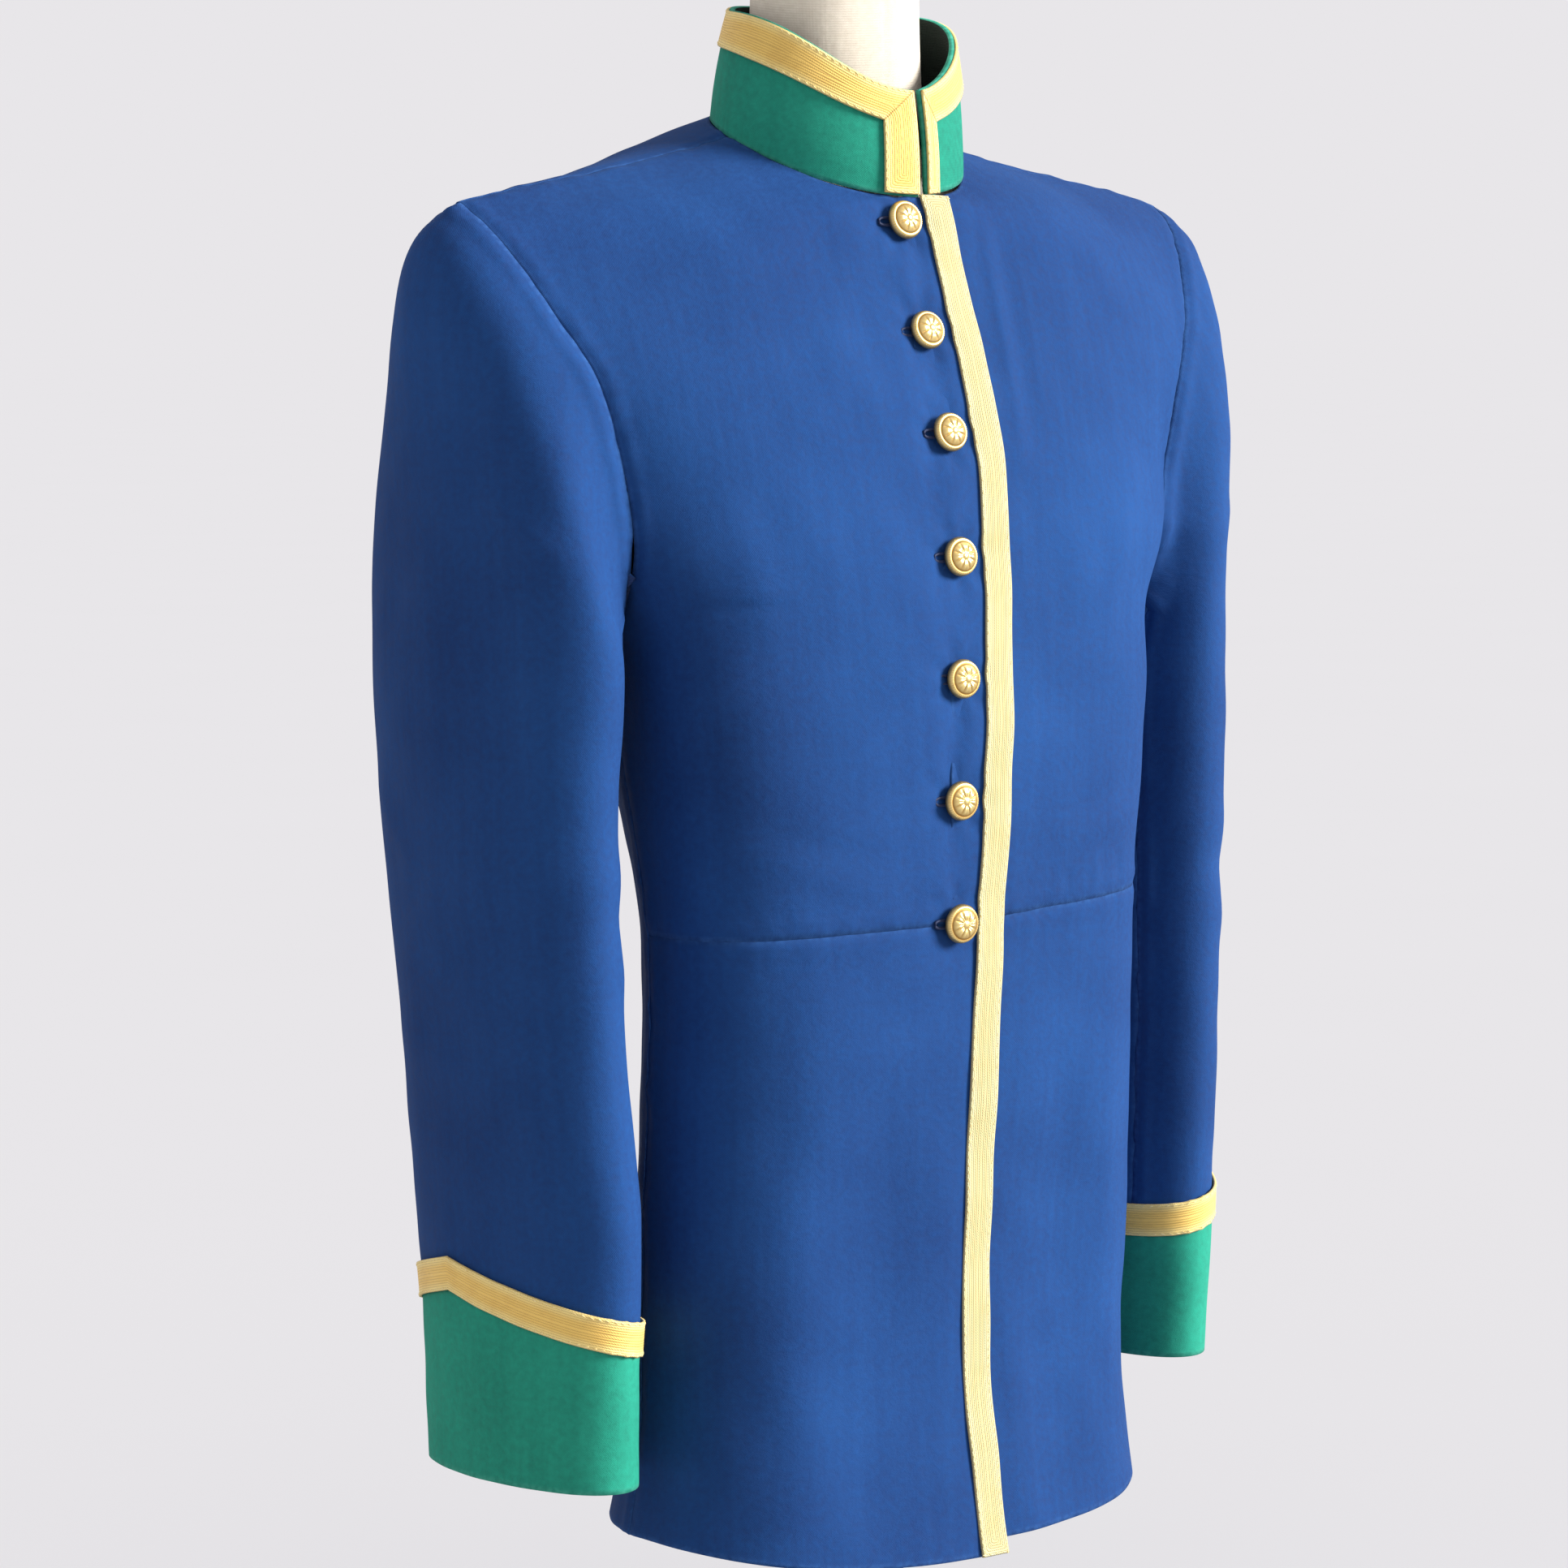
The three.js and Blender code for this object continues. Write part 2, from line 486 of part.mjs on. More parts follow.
// ---------------------------------------------------------------- sleeves
// The armhole, degrees round it: 0 is the shoulder, 90 the front, 180 the armpit, 270 the back.
function armholeCurve(panel) {
  const last = panel.rows.length - 1;
  const points = spread(last, panel.armpit, 40).map((v) => bodyPoint(panel, 1, v));
  return new THREE.CatmullRomCurve3(points);
}
const armholes = { front: armholeCurve(FRONT), back: armholeCurve(BACK) };

function armholePoint(degrees) {
  const d = THREE.MathUtils.euclideanModulo(degrees, 360);
  return d <= 180 ? armholes.front.getPointAt(d / 180) : armholes.back.getPointAt((360 - d) / 180);
}

function ringPoint(degrees, z) {
  const a = rad(degrees);
  let row = 0;
  while (row < SLEEVE_RINGS.length - 2 && z < SLEEVE_RINGS[row + 1].z) row += 1;
  const v = row + (SLEEVE_RINGS[row].z - z) / (SLEEVE_RINGS[row].z - SLEEVE_RINGS[row + 1].z);
  const get = (name) => column(SLEEVE_RINGS, name, v);
  const point = new THREE.Vector3(-get('hx') * Math.cos(a), -get('hy') * Math.sin(a), 0);
  point.applyAxisAngle(new THREE.Vector3(0, 0, 1), rad(get('yaw')));
  return point.add(new THREE.Vector3(-get('cx'), get('cy'), z + get('tilt') * Math.cos(a)));
}

// The cuff's upper edge climbs to a point at the outer side.
const cuffShare = (degrees) => {
  const away = Math.abs(THREE.MathUtils.euclideanModulo(degrees - CUFF.apex + 180, 360) - 180) / 180;
  return (1 - away) ** 2;
};
const lastRing = SLEEVE_RINGS[SLEEVE_RINGS.length - 1].z;
const cuffTop = (degrees) => lastRing + CUFF.low + CUFF.peak * cuffShare(degrees);

// The sleeve on the wearer's right. v runs 0 to 1 over the sleeve head, then 1 to 2 to the cuff.
function sleevePoint(degrees, v) {
  const top = SLEEVE_RINGS[0].z;
  if (v >= 1) return ringPoint(degrees, THREE.MathUtils.lerp(top, cuffTop(degrees) + SEAM_GAP, v - 1));
  const a = rad(degrees);
  const upper = (1 + Math.cos(a)) / 2;
  const lower = 1 - upper;
  const out = new THREE.Vector3(
    -HEAD_OUT.side - HEAD_OUT.top * upper,
    -(Math.sin(a) > 0 ? HEAD_OUT.front : HEAD_OUT.back) * Math.sin(a),
    HEAD_OUT.rise * upper - HEAD_OUT.fall * lower,
  ).normalize();
  const start = armholePoint(degrees).addScaledVector(out, HEAD_GAP);
  const end = ringPoint(degrees, top);
  const chord = start.distanceTo(end);
  const down = ringPoint(degrees, top - 1).sub(ringPoint(degrees, top)).setLength(HEAD_OUT.drop * chord);
  const leave = out.multiplyScalar(HEAD_OUT.reach * chord);
  const [v2, v3] = [v * v, v * v * v];
  return start.multiplyScalar(2 * v3 - 3 * v2 + 1)
    .addScaledVector(leave, v3 - 2 * v2 + v)
    .addScaledVector(end, 3 * v2 - 2 * v3)
    .addScaledVector(down, v3 - v2);
}

// Moves a sleeve point out (or in) by a distance measured square to the cloth.
function sleeveMoved(degrees, v, distance) {
  const a = rad(degrees);
  const up = v < 1 ? HEAD_OUT.tip * (1 - v) * Math.cos(a) : 0;
  const outward = new THREE.Vector3(-Math.cos(a), -Math.sin(a), up);
  const inside = THREE.MathUtils.clamp(v, 0.01, 1.999);
  const normal = normalOf((u, w) => sleevePoint(u * 50, w), degrees / 50, inside, outward);
  return sleevePoint(degrees, v).addScaledVector(normal, distance);
}

// Columns round a sleeve start at the cuff's point, so that sleeve, cuff and braid share their edges.
const ALL_COLUMNS = SLEEVE_COLUMNS.top + SLEEVE_COLUMNS.under;
const COLUMN_DEGREES = 360 / ALL_COLUMNS;
const BACK_SEAM_COLUMN = -9;
const columnDegrees = (k) => CUFF.apex + k * COLUMN_DEGREES;
const aroundSleeve = Array.from({ length: ALL_COLUMNS }, (_, k) => columnDegrees(k));
const SEAM_TRIM = 0.22; // degrees, at least half the seam gap all along

// Moves a sleeve point to its side and to where that sleeve hangs.
function hung(name, side) {
  const shift = SLEEVE_HEM[name] - lastRing;
  const { from, full, fade, to } = SLEEVE_BACK;
  return (point) => {
    const below = -point.z;
    point.y += SLEEVE_BACK[name] * smooth(from, full, below) * (1 - smooth(fade, to, below));
    point.z += shift * smooth(SLEEVE_STRETCH.from, SLEEVE_STRETCH.to, below);
    return mirrored(side)(point);
  };
}

function addSleevePanel(piece, name, side, firstColumn, columns) {
  const around = Array.from({ length: columns + 1 }, (_, k) => columnDegrees(firstColumn + k));
  around[0] += SEAM_TRIM;
  around[columns] -= SEAM_TRIM;
  const along = [...spread(0, 1, SLEEVE_HEAD_ROWS), ...spread(1, 2, SLEEVE_ROWS).slice(1)];
  const layer = (distance) => grid(along, around, (d, v) => hung(name, side)(sleeveMoved(d, v, distance)));
  add(garment, `${piece}_${name}`, wall(layer(0), layer(-CLOTH)), COLOURS.blue);
}

function cuffPoint(degrees, z, lift) {
  const a = rad(degrees);
  const out = new THREE.Vector3(-Math.cos(a) / CUFF.halfX, -Math.sin(a) / CUFF.halfY, 0).normalize();
  return ringPoint(degrees, z).addScaledVector(out, lift);
}

function addCuff(name, side) {
  const layer = (lift) => spread(0, 1, CUFF.rows).map((share) => aroundSleeve.map((d) => {
    const z = THREE.MathUtils.lerp(lastRing, cuffTop(d), share);
    return hung(name, side)(cuffPoint(d, z, lift));
  }));
  const shell = wall(layer(CUFF.lift), layer(CUFF.lift - CLOTH), { closed: true });
  add(garment, `cuff_${name}`, shell, COLOURS.green);
}

// Cuff braid: a band over the cuff's upper edge, with its point at the outer side.
function addCuffBraid(name, side) {
  const base = CUFF.lift + BRAID_LIFT;
  const layer = (lift) => [-1, BRAID_WIDTH / 2, BRAID_WIDTH - 1].map((above) => aroundSleeve.map((d) => (
    hung(name, side)(cuffPoint(d, cuffTop(d) + above, lift)))));
  const band = wall(layer(base + BRAID_WALL), layer(base), { closed: true });
  add(garment, `cuff_braid_${name}`, band, COLOURS.yellow);
}

for (const { name, side } of SIDES) {
  const frontSeam = BACK_SEAM_COLUMN + SLEEVE_COLUMNS.top;
  addSleevePanel('sleeve_top', name, side, BACK_SEAM_COLUMN, SLEEVE_COLUMNS.top);
  addSleevePanel('sleeve_under', name, side, frontSeam, SLEEVE_COLUMNS.under);
  addCuff(name, side);
  addCuffBraid(name, side);
}

// ---------------------------------------------------------------- buttons
// A domed button on a short shank, turned about its own +Y.
function buttonGeometry() {
  const { radius, rim, dome, bevel, shankRadius, shank, segments } = BUTTON;
  const domeSteps = spread(0, 1, 4).map((t) => {
    const a = (t * Math.PI) / 2;
    return new THREE.Vector2(t === 1 ? 0 : radius * Math.cos(a), shank + rim + dome * Math.sin(a));
  });
  const backProfile = [[0, 0], [shankRadius, 0], [shankRadius, shank],
    [radius - bevel, shank], [radius, shank + bevel]];
  const points = [...backProfile.map(([x, y]) => new THREE.Vector2(x, y)), ...domeSteps];
  return new THREE.LatheGeometry(points, segments);
}

// The table row at which the centre line has this height.
function rowAtHeight(z) {
  let v = 0;
  while (column(FRONT_ROWS, 'zc', v, 0, FRONT.corner) < z && v < FRONT.corner) v += 0.005;
  return v;
}

BUTTONS.forEach(({ z, fromEdge }, i) => {
  const v = rowAtHeight(z);
  const x = column(FRONT_ROWS, 'edge', v) - fromEdge;
  const u = -Math.sign(x) * uAtWidth(FRONT, v, Math.abs(x));
  const out = normalOf((a, b) => bodyPoint(FRONT, a, b), u, v, new THREE.Vector3(0, -1, 0));
  const finish = { roughness: 0.3, metalness: 1 };
  const mesh = add(garment, `button_${i + 1}`, buttonGeometry(), COLOURS.gilt, finish);
  mesh.position.copy(moved(FRONT, u, v, SEAM_GAP + 0.1));
  mesh.quaternion.setFromUnitVectors(new THREE.Vector3(0, 1, 0), out);
});

// ---------------------------------------------------------------- dress form
// Each upper ring ends just under the shoulder seam.
function shoulderRing({ share, under, front, back, power }) {
  const seam = moved(FRONT, share, shoulderRow, -CLOTH - under);
  return { z: seam.z, half: -seam.x, tipY: seam.y, front, back, power };
}

function formRing({ z, half, front, back, power, tipY }) {
  return spread(0, 360, FORM_COLUMNS).slice(0, -1).map((degrees) => {
    const a = rad(degrees);
    const shape = (value) => Math.sign(value) * Math.abs(value) ** (2 / power);
    const middle = tipY ?? (front + back) / 2;
    const depth = Math.sin(a) < 0 ? middle - front : back - middle;
    return new THREE.Vector3(half * shape(Math.cos(a)), middle + depth * shape(Math.sin(a)), z);
  });
}

// A solid through rings, closed by a flat face at each end.
function ringSolid(rings) {
  const columns = rings[0].length;
  const middleOf = (ring) => ring.reduce((sum, p) => sum.add(p), new THREE.Vector3()).divideScalar(columns);
  const points = [...rings.flat(), middleOf(rings[0]), middleOf(rings.at(-1))];
  const faces = [];
  const [bottom, top] = [rings.length * columns, rings.length * columns + 1];
  for (let j = 0; j < columns; j += 1) {
    const next = (j + 1) % columns;
    for (let i = 0; i < rings.length - 1; i += 1) {
      const [low, high] = [i * columns, (i + 1) * columns];
      faces.push([low + j, low + next, high + next, high + j]);
    }
    const last = (rings.length - 1) * columns;
    faces.push([bottom, next, j], [top, last + j, last + next]);
  }
  return solid(points, faces);
}

const formRows = [...FORM_ROWS, ...FORM_SHOULDER_ROWS.map(shoulderRing), ...FORM_NECK_ROWS];
add(garment, 'form_torso', ringSolid(formRows.map(formRing)), COLOURS.cream, { roughness: 0.7 });

function turned(name, points, segments, colour, finish) {
  const geometry = new THREE.LatheGeometry(points.map(([r, z]) => new THREE.Vector2(r, z)), segments);
  geometry.rotateX(Math.PI / 2);
  return add(group, name, geometry, colour, finish);
}

const cap = NECK_CAP;
const capProfile = [[0, 0], [cap.radius, 0], [cap.radius, cap.height - cap.edge],
  [cap.radius - cap.edge, cap.height], [0, cap.height]];
turned('neck_cap', capProfile, cap.segments, COLOURS.cream, { roughness: 0.5 })
  .position.set(0, cap.y - FORM_AXIS_Y, DATUM_HEIGHT + cap.z);

const poleTop = DATUM_HEIGHT + FORM_ROWS[0].z - SEAM_GAP;
const poleFoot = BASE.height + SEAM_GAP;
const poleProfile = [[0, poleFoot], [POLE_RADIUS, poleFoot], [POLE_RADIUS, poleTop], [0, poleTop]];
turned('pole', poleProfile, 24, COLOURS.iron, { roughness: 0.4, metalness: 0.8 });

const baseProfile = [[0, 0], [BASE.radius, 0], [BASE.radius, BASE.height - BASE.edge],
  [BASE.radius - BASE.edge, BASE.height], [0, BASE.height]];
turned('base', baseProfile, BASE.segments, COLOURS.iron, { roughness: 0.4, metalness: 0.8 });

export default group;
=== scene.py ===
"""A blue wool hussar jacket with green facings and yellow braid on a limbless dress form.

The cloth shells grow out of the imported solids' own outer walls, so seams and openings stay where
the frame has them. Garment coordinates are millimetres from the jacket's datum on the body's axis:
x across, y to the back, z up.
"""
import math

import bmesh
import bpy
import numpy as np
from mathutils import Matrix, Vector
from mathutils.kdtree import KDTree


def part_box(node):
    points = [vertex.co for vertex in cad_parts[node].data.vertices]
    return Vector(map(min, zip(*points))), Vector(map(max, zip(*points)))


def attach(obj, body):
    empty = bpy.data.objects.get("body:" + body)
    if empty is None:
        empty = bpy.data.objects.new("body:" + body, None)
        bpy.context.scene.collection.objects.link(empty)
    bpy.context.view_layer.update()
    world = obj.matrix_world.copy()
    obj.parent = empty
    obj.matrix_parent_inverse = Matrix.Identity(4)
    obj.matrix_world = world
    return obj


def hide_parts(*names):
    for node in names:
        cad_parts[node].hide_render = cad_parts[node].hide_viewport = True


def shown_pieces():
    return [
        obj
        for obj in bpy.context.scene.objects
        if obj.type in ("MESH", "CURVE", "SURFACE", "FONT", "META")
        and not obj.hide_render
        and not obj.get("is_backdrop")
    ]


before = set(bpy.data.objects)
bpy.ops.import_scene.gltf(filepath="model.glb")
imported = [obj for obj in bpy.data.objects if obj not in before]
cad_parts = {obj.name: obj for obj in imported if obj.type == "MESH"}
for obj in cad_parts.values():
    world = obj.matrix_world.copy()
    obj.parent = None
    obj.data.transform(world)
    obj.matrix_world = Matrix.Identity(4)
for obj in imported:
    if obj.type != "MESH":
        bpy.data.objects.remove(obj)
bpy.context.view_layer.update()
scene = bpy.context.scene

# ---- sizes, in millimetres
MM = 0.001
DATUM = np.array([0.0, 33.0, 787.0])  # the garment's datum in the row frame
CLOTH = 1.8  # wall of the wool
COLLAR_WALL = 2.6
BRAID_WALL = 1.3
BODY_CORE_DROP = 60  # the body's walls face away from an axis that ends this far below the datum
LIMB_CORE_DROP = 90  # and a sleeve's or cuff's from one that ends this far below its own top
WELD = 1e-5  # metres within which the vertices of a solid are one
SMOOTH_EDGE = math.radians(50)  # walls meet their rims at more than this
SHARP_CORNER = math.radians(16)  # a braid's edge keeps the corners that turn by more than this
SQUARE_CORNER = math.radians(50)  # and a panel's edge those that turn by more than this
SEAM_REACH = 0.6  # an edge this close to another piece's edge is a seam
ON_SEAM = 0.01  # and a point this close to a seam's points is one of them
FAR = 99.0  # stands for a distance that nothing is within

# ---- camera, as the photograph's
CAMERA_DISTANCE = 2.7
CAMERA_DIRECTION = Vector((0.6018, 0.7986, 0.0))
CAMERA_RIGHT = Vector((0.7986, -0.6018, 0.0))
CAMERA_ASIDE = 0.0258
CAMERA_HEIGHT = 0.787
CAMERA_PITCH = math.radians(-5.846)
CAMERA_LENS = 121.2
CAMERA_SENSOR = 36.0


def add_object(name, data):
    made = bpy.data.objects.new(name, data)
    scene.collection.objects.link(made)
    return made


def make_camera():
    data = bpy.data.cameras.new("camera")
    data.lens = CAMERA_LENS
    data.sensor_width = CAMERA_SENSOR
    camera = add_object("camera", data)
    place = Vector((0.0, DATUM[1] * MM, CAMERA_HEIGHT))
    place -= CAMERA_DIRECTION * CAMERA_DISTANCE
    place -= CAMERA_RIGHT * CAMERA_ASIDE
    look = CAMERA_DIRECTION * math.cos(CAMERA_PITCH)
    look.z = math.sin(CAMERA_PITCH)
    camera.location = place
    camera.rotation_euler = look.to_track_quat("-Z", "Y").to_euler()
    scene.camera = camera


make_camera()


# ---- node materials
def linear(red, green, blue):
    """An sRGB colour, 0 to 255, as scene-linear RGBA."""
    def one(value):
        value /= 255
        return value / 12.92 if value <= 0.04045 else ((value + 0.055) / 1.055) ** 2.4
    return (one(red), one(green), one(blue), 1.0)


# Sockets by their number, where a node has several of one name or the name alone can't pick one.
MIX_SHARE, MIX_A, MIX_B, MIX_RESULT = 0, 6, 7, 2
OBJECT_SPACE = 3
ATTRIBUTE_VALUE = 2
MIDDLE = (0.3, 0.7)  # the range that most of a noise is in


class Graph:
    """A material's node tree, built with one call a node."""

    def __init__(self, name):
        self.material = bpy.data.materials.new(name)
        self.material.use_nodes = True
        self.nodes = self.material.node_tree.nodes
        self.links = self.material.node_tree.links
        self.shader = self.nodes["Principled BSDF"]

    def put(self, socket, value):
        if isinstance(value, bpy.types.NodeSocket):
            self.links.new(value, socket)
        else:
            socket.default_value = value

    def node(self, kind, inputs=None, output=0, **settings):
        made = self.nodes.new(kind)
        for key, value in settings.items():
            setattr(made, key, value)
        for key, value in (inputs or {}).items():
            self.put(made.inputs[key], value)
        return made.outputs[output]

    def math(self, operation, a, b=0.0, c=0.0):
        return self.node("ShaderNodeMath", {0: a, 1: b, 2: c}, operation=operation)

    def noise(self, place, scale, detail=2.0, roughness=0.5):
        inputs = {"Vector": place, "Scale": scale, "Detail": detail, "Roughness": roughness}
        return self.node("ShaderNodeTexNoise", inputs)

    def span(self, value, low, high, to_low=0.0, to_high=1.0):
        inputs = {"Value": value, "From Min": low, "From Max": high, "To Min": to_low, "To Max": to_high}
        return self.node("ShaderNodeMapRange", inputs)

    def mix(self, share, a, b):
        made = self.nodes.new("ShaderNodeMix")
        made.data_type = "RGBA"
        self.put(made.inputs[MIX_SHARE], share)
        self.put(made.inputs[MIX_A], a)
        self.put(made.inputs[MIX_B], b)
        return made.outputs[MIX_RESULT]

    def bump(self, height, distance, strength, under=None):
        inputs = {"Height": height, "Distance": distance, "Strength": strength}
        if under is not None:
            inputs["Normal"] = under
        return self.node("ShaderNodeBump", inputs)

    def attribute(self, name):
        return self.node("ShaderNodeAttribute", output=ATTRIBUTE_VALUE, attribute_name=name)

    def space(self):
        """The place in the piece's own space, in metres."""
        return self.node("ShaderNodeTexCoord", output=OBJECT_SPACE)

    def split(self, vector):
        parts = self.nodes.new("ShaderNodeSeparateXYZ")
        self.links.new(vector, parts.inputs[0])
        return parts.outputs

    def cut(self):
        """The place on the flat cut, and how far that is across and along it, in metres."""
        flat = self.node("ShaderNodeUVMap", uv_map="cut")
        across, along, _ = self.split(flat)
        return flat, across, along

    def finish(self, **inputs):
        for key, value in inputs.items():
            self.put(self.shader.inputs[key.replace("_", " ")], value)
        return self.material


def wave(graph, along, spacing):
    """Threads: a rounded ridge at every step of this spacing, in metres, along the coordinate."""
    phase = graph.math("MULTIPLY", along, math.pi / spacing)
    return graph.math("ABSOLUTE", graph.math("SINE", phase))


TWILL = 0.00062 * 1.41  # metres between the wool's slanting ridges
CROSS_TWILL = 0.00062 * 2.1  # and between the fainter ones that cross them
RUB_REACH = 3.2  # millimetres from a piece's edge that are rubbed pale


def wool(name, dark, light, worn):
    """Fulled broadcloth: a nap over a fine twill with painted shade in its hollows, mottling from uneven
    dyeing, and pale rubbed edges.
    """
    graph = Graph(name)
    flat, across, along = graph.cut()
    fade = graph.noise(graph.space(), scale=9.0, detail=3.0)
    mottle = graph.noise(flat, scale=260.0, detail=4.0, roughness=0.62)
    nap = graph.noise(flat, scale=1500.0, detail=3.0, roughness=0.7)
    twill = wave(graph, graph.math("ADD", across, along), TWILL)
    weft = wave(graph, graph.math("SUBTRACT", across, along), CROSS_TWILL)
    drawn = graph.node("ShaderNodeMapping", {"Vector": flat, "Scale": (1.0, 0.05, 1.0)})
    streak = graph.noise(drawn, scale=150.0, detail=3.0, roughness=0.55)
    tone = graph.math("MULTIPLY_ADD", fade, 0.5, graph.math("MULTIPLY", mottle, 0.36))
    tone = graph.math("MULTIPLY_ADD", streak, 0.14, tone)
    colour = graph.mix(graph.span(tone, 0.36, 0.64), dark, light)
    colour = graph.mix(graph.span(nap, 0.62, 0.78, 0.0, 0.32), colour, worn)
    # painted shade: the twill's hollows are darkened towards the dark tone
    colour = graph.mix(graph.span(twill, 0.0, 0.5, 0.2, 0.0), colour, dark)
    rub = graph.span(graph.attribute("edge"), 0.0, RUB_REACH, 1.0, 0.0)
    rub = graph.math("MULTIPLY", rub, graph.span(mottle, 0.4, 0.7, 0.1, 0.55))
    colour = graph.mix(rub, colour, worn)
    height = graph.math("MULTIPLY_ADD", twill, 0.5, graph.math("MULTIPLY", weft, 0.25))
    fine = graph.bump(graph.math("ADD", height, nap), distance=0.00016, strength=0.7)
    return graph.finish(
        Base_Color=colour,
        Roughness=graph.span(mottle, *MIDDLE, 0.78, 0.94),
        Normal=graph.bump(mottle, distance=0.0006, strength=0.5, under=fine),
        Sheen_Weight=0.05,
        Sheen_Roughness=0.45,
        Sheen_Tint=worn,
        Specular_IOR_Level=0.15,
    )


RIB = 0.00125  # width in metres of the braid's lengthwise ribs
CHEVRON = 0.0013  # and of the small chevrons across them
PALE_EDGE = (1.2, 5.0)  # millimetres from the braid's edge over which it turns from pale to golden
MITRE_LINE = (0.15, 0.6)  # millimetres beside a mitre over which its dark line fades
# painted shade: the hollows between the braid's ribs are darkened towards this colour
VALLEY_SHADE = linear(150, 112, 50)
# painted shade: the hollows between the chevrons are darkened towards this colour
PICK_SHADE = linear(160, 122, 56)
MITRE_DYE = linear(150, 108, 48)


def braid(name, pale, gold, soiled):
    """Flat worsted braid: lengthwise ribs crossed by small chevrons, golden inside, paler at both edges."""
    graph = Graph(name)
    flat, across, along = graph.cut()
    inwards = graph.math("MULTIPLY", graph.attribute("edge"), MM)
    rib = wave(graph, inwards, RIB)
    odd = graph.math("LESS_THAN", graph.math("FRACT", graph.math("DIVIDE", inwards, 2 * RIB)), 0.5)
    left = wave(graph, graph.math("ADD", across, along), CHEVRON)
    right = wave(graph, graph.math("SUBTRACT", across, along), CHEVRON)
    turned = graph.math("MULTIPLY", odd, graph.math("SUBTRACT", left, right))
    pick = graph.math("ADD", right, turned)
    soil = graph.noise(flat, scale=55.0, detail=4.0, roughness=0.6)
    fibre = graph.noise(flat, scale=1700.0, detail=3.0, roughness=0.7)
    colour = graph.mix(graph.span(graph.attribute("edge"), *PALE_EDGE), pale, gold)
    colour = graph.mix(graph.span(soil, 0.45, 0.75, 0.0, 0.4), colour, soiled)
    # painted shade in the hollows between the ribs
    valley = graph.math("MULTIPLY", graph.span(rib, 0.0, 0.55, 1.0, 0.0), 0.34)
    colour = graph.mix(valley, colour, VALLEY_SHADE)
    # painted shade in the hollows between the chevrons
    colour = graph.mix(graph.span(pick, 0.0, 0.5, 0.26, 0.0), colour, PICK_SHADE)
    from_mitre = graph.math("ABSOLUTE", graph.attribute("mitre"))
    colour = graph.mix(graph.span(from_mitre, *MITRE_LINE, 0.75, 0.0), colour, MITRE_DYE)
    height = graph.math("MULTIPLY_ADD", pick, 0.45, rib)
    height = graph.math("MULTIPLY_ADD", fibre, 0.25, height)
    return graph.finish(
        Base_Color=colour,
        Roughness=graph.span(fibre, *MIDDLE, 0.5, 0.72),
        Normal=graph.bump(height, distance=0.0004, strength=0.8),
        Sheen_Weight=0.15,
        Sheen_Roughness=0.4,
        Specular_IOR_Level=0.35,
    )


WARP_RADIUS = 0.06  # turns an angle round the upright axis into metres along the weave


def plain_cloth(name, dark, light, spacing, relief):
    """Plain weave in object space, for linings and the form's cover."""
    graph = Graph(name)
    space = graph.space()
    x, y, z = graph.split(space)
    turned = graph.math("ARCTAN2", x, y)
    warp = wave(graph, graph.math("MULTIPLY", turned, WARP_RADIUS), spacing)
    weft = wave(graph, z, spacing)
    slub = graph.noise(space, scale=300.0, detail=4.0, roughness=0.6)
    stain = graph.noise(space, scale=14.0, detail=3.0)
    tone = graph.math("MULTIPLY_ADD", slub, 0.5, graph.math("MULTIPLY", stain, 0.5))
    colour = graph.mix(graph.span(tone, 0.35, 0.65), dark, light)
    pit = graph.math("MULTIPLY", warp, weft)
    # painted shade: the hollows between the threads are darkened towards the dark tone
    colour = graph.mix(graph.span(pit, 0.0, 0.4, 0.14, 0.0), colour, dark)
    height = graph.math("MULTIPLY_ADD", slub, 0.6, pit)
    return graph.finish(
        Base_Color=colour,
        Roughness=graph.span(slub, *MIDDLE, 0.75, 0.92),
        Normal=graph.bump(height, distance=relief, strength=0.7),
        Specular_IOR_Level=0.25,
    )


def thread(name, dark, light):
    """Twisted sewing thread."""
    graph = Graph(name)
    twist = graph.noise(graph.space(), scale=2600.0, detail=2.0)
    colour = graph.mix(graph.span(twist, 0.35, 0.65), dark, light)
    return graph.finish(
        Base_Color=colour,
        Roughness=graph.span(twist, *MIDDLE, 0.5, 0.75),
        Normal=graph.bump(twist, distance=0.0002, strength=0.6),
    )


def gilt(name):
    """Gilt brass: bright on the high parts, brown in the hollows, with fine scratches."""
    graph = Graph(name)
    space = graph.space()
    tarnish = graph.noise(space, scale=240.0, detail=5.0, roughness=0.65)
    scratch = graph.noise(space, scale=3000.0, detail=2.0)
    hollow = graph.span(graph.attribute("height"), 0.0, 1.0)
    colour = graph.mix(hollow, linear(150, 112, 56), linear(248, 222, 150))
    colour = graph.mix(graph.span(tarnish, 0.54, 0.72, 0.0, 0.5), colour, linear(160, 116, 60))
    rough = graph.math("MULTIPLY_ADD", tarnish, 0.3, graph.span(hollow, 0.0, 1.0, 0.34, 0.14))
    return graph.finish(
        Base_Color=colour,
        Metallic=0.92,
        Roughness=rough,
        Normal=graph.bump(graph.math("ADD", scratch, tarnish), distance=0.0001, strength=0.45),
    )


def iron(name):
    """Black-painted iron, a little chipped and dusty."""
    graph = Graph(name)
    space = graph.space()
    grain = graph.noise(space, scale=420.0, detail=4.0, roughness=0.6)
    dust = graph.noise(space, scale=22.0, detail=4.0, roughness=0.6)
    colour = graph.mix(graph.span(dust, 0.45, 0.7), linear(32, 32, 34), linear(58, 57, 57))
    colour = graph.mix(graph.span(grain, 0.68, 0.74, 0.0, 0.7), colour, linear(108, 100, 92))
    return graph.finish(
        Base_Color=colour,
        Metallic=0.35,
        Roughness=graph.span(grain, *MIDDLE, 0.36, 0.56),
        Normal=graph.bump(grain, distance=0.00025, strength=0.5),
    )


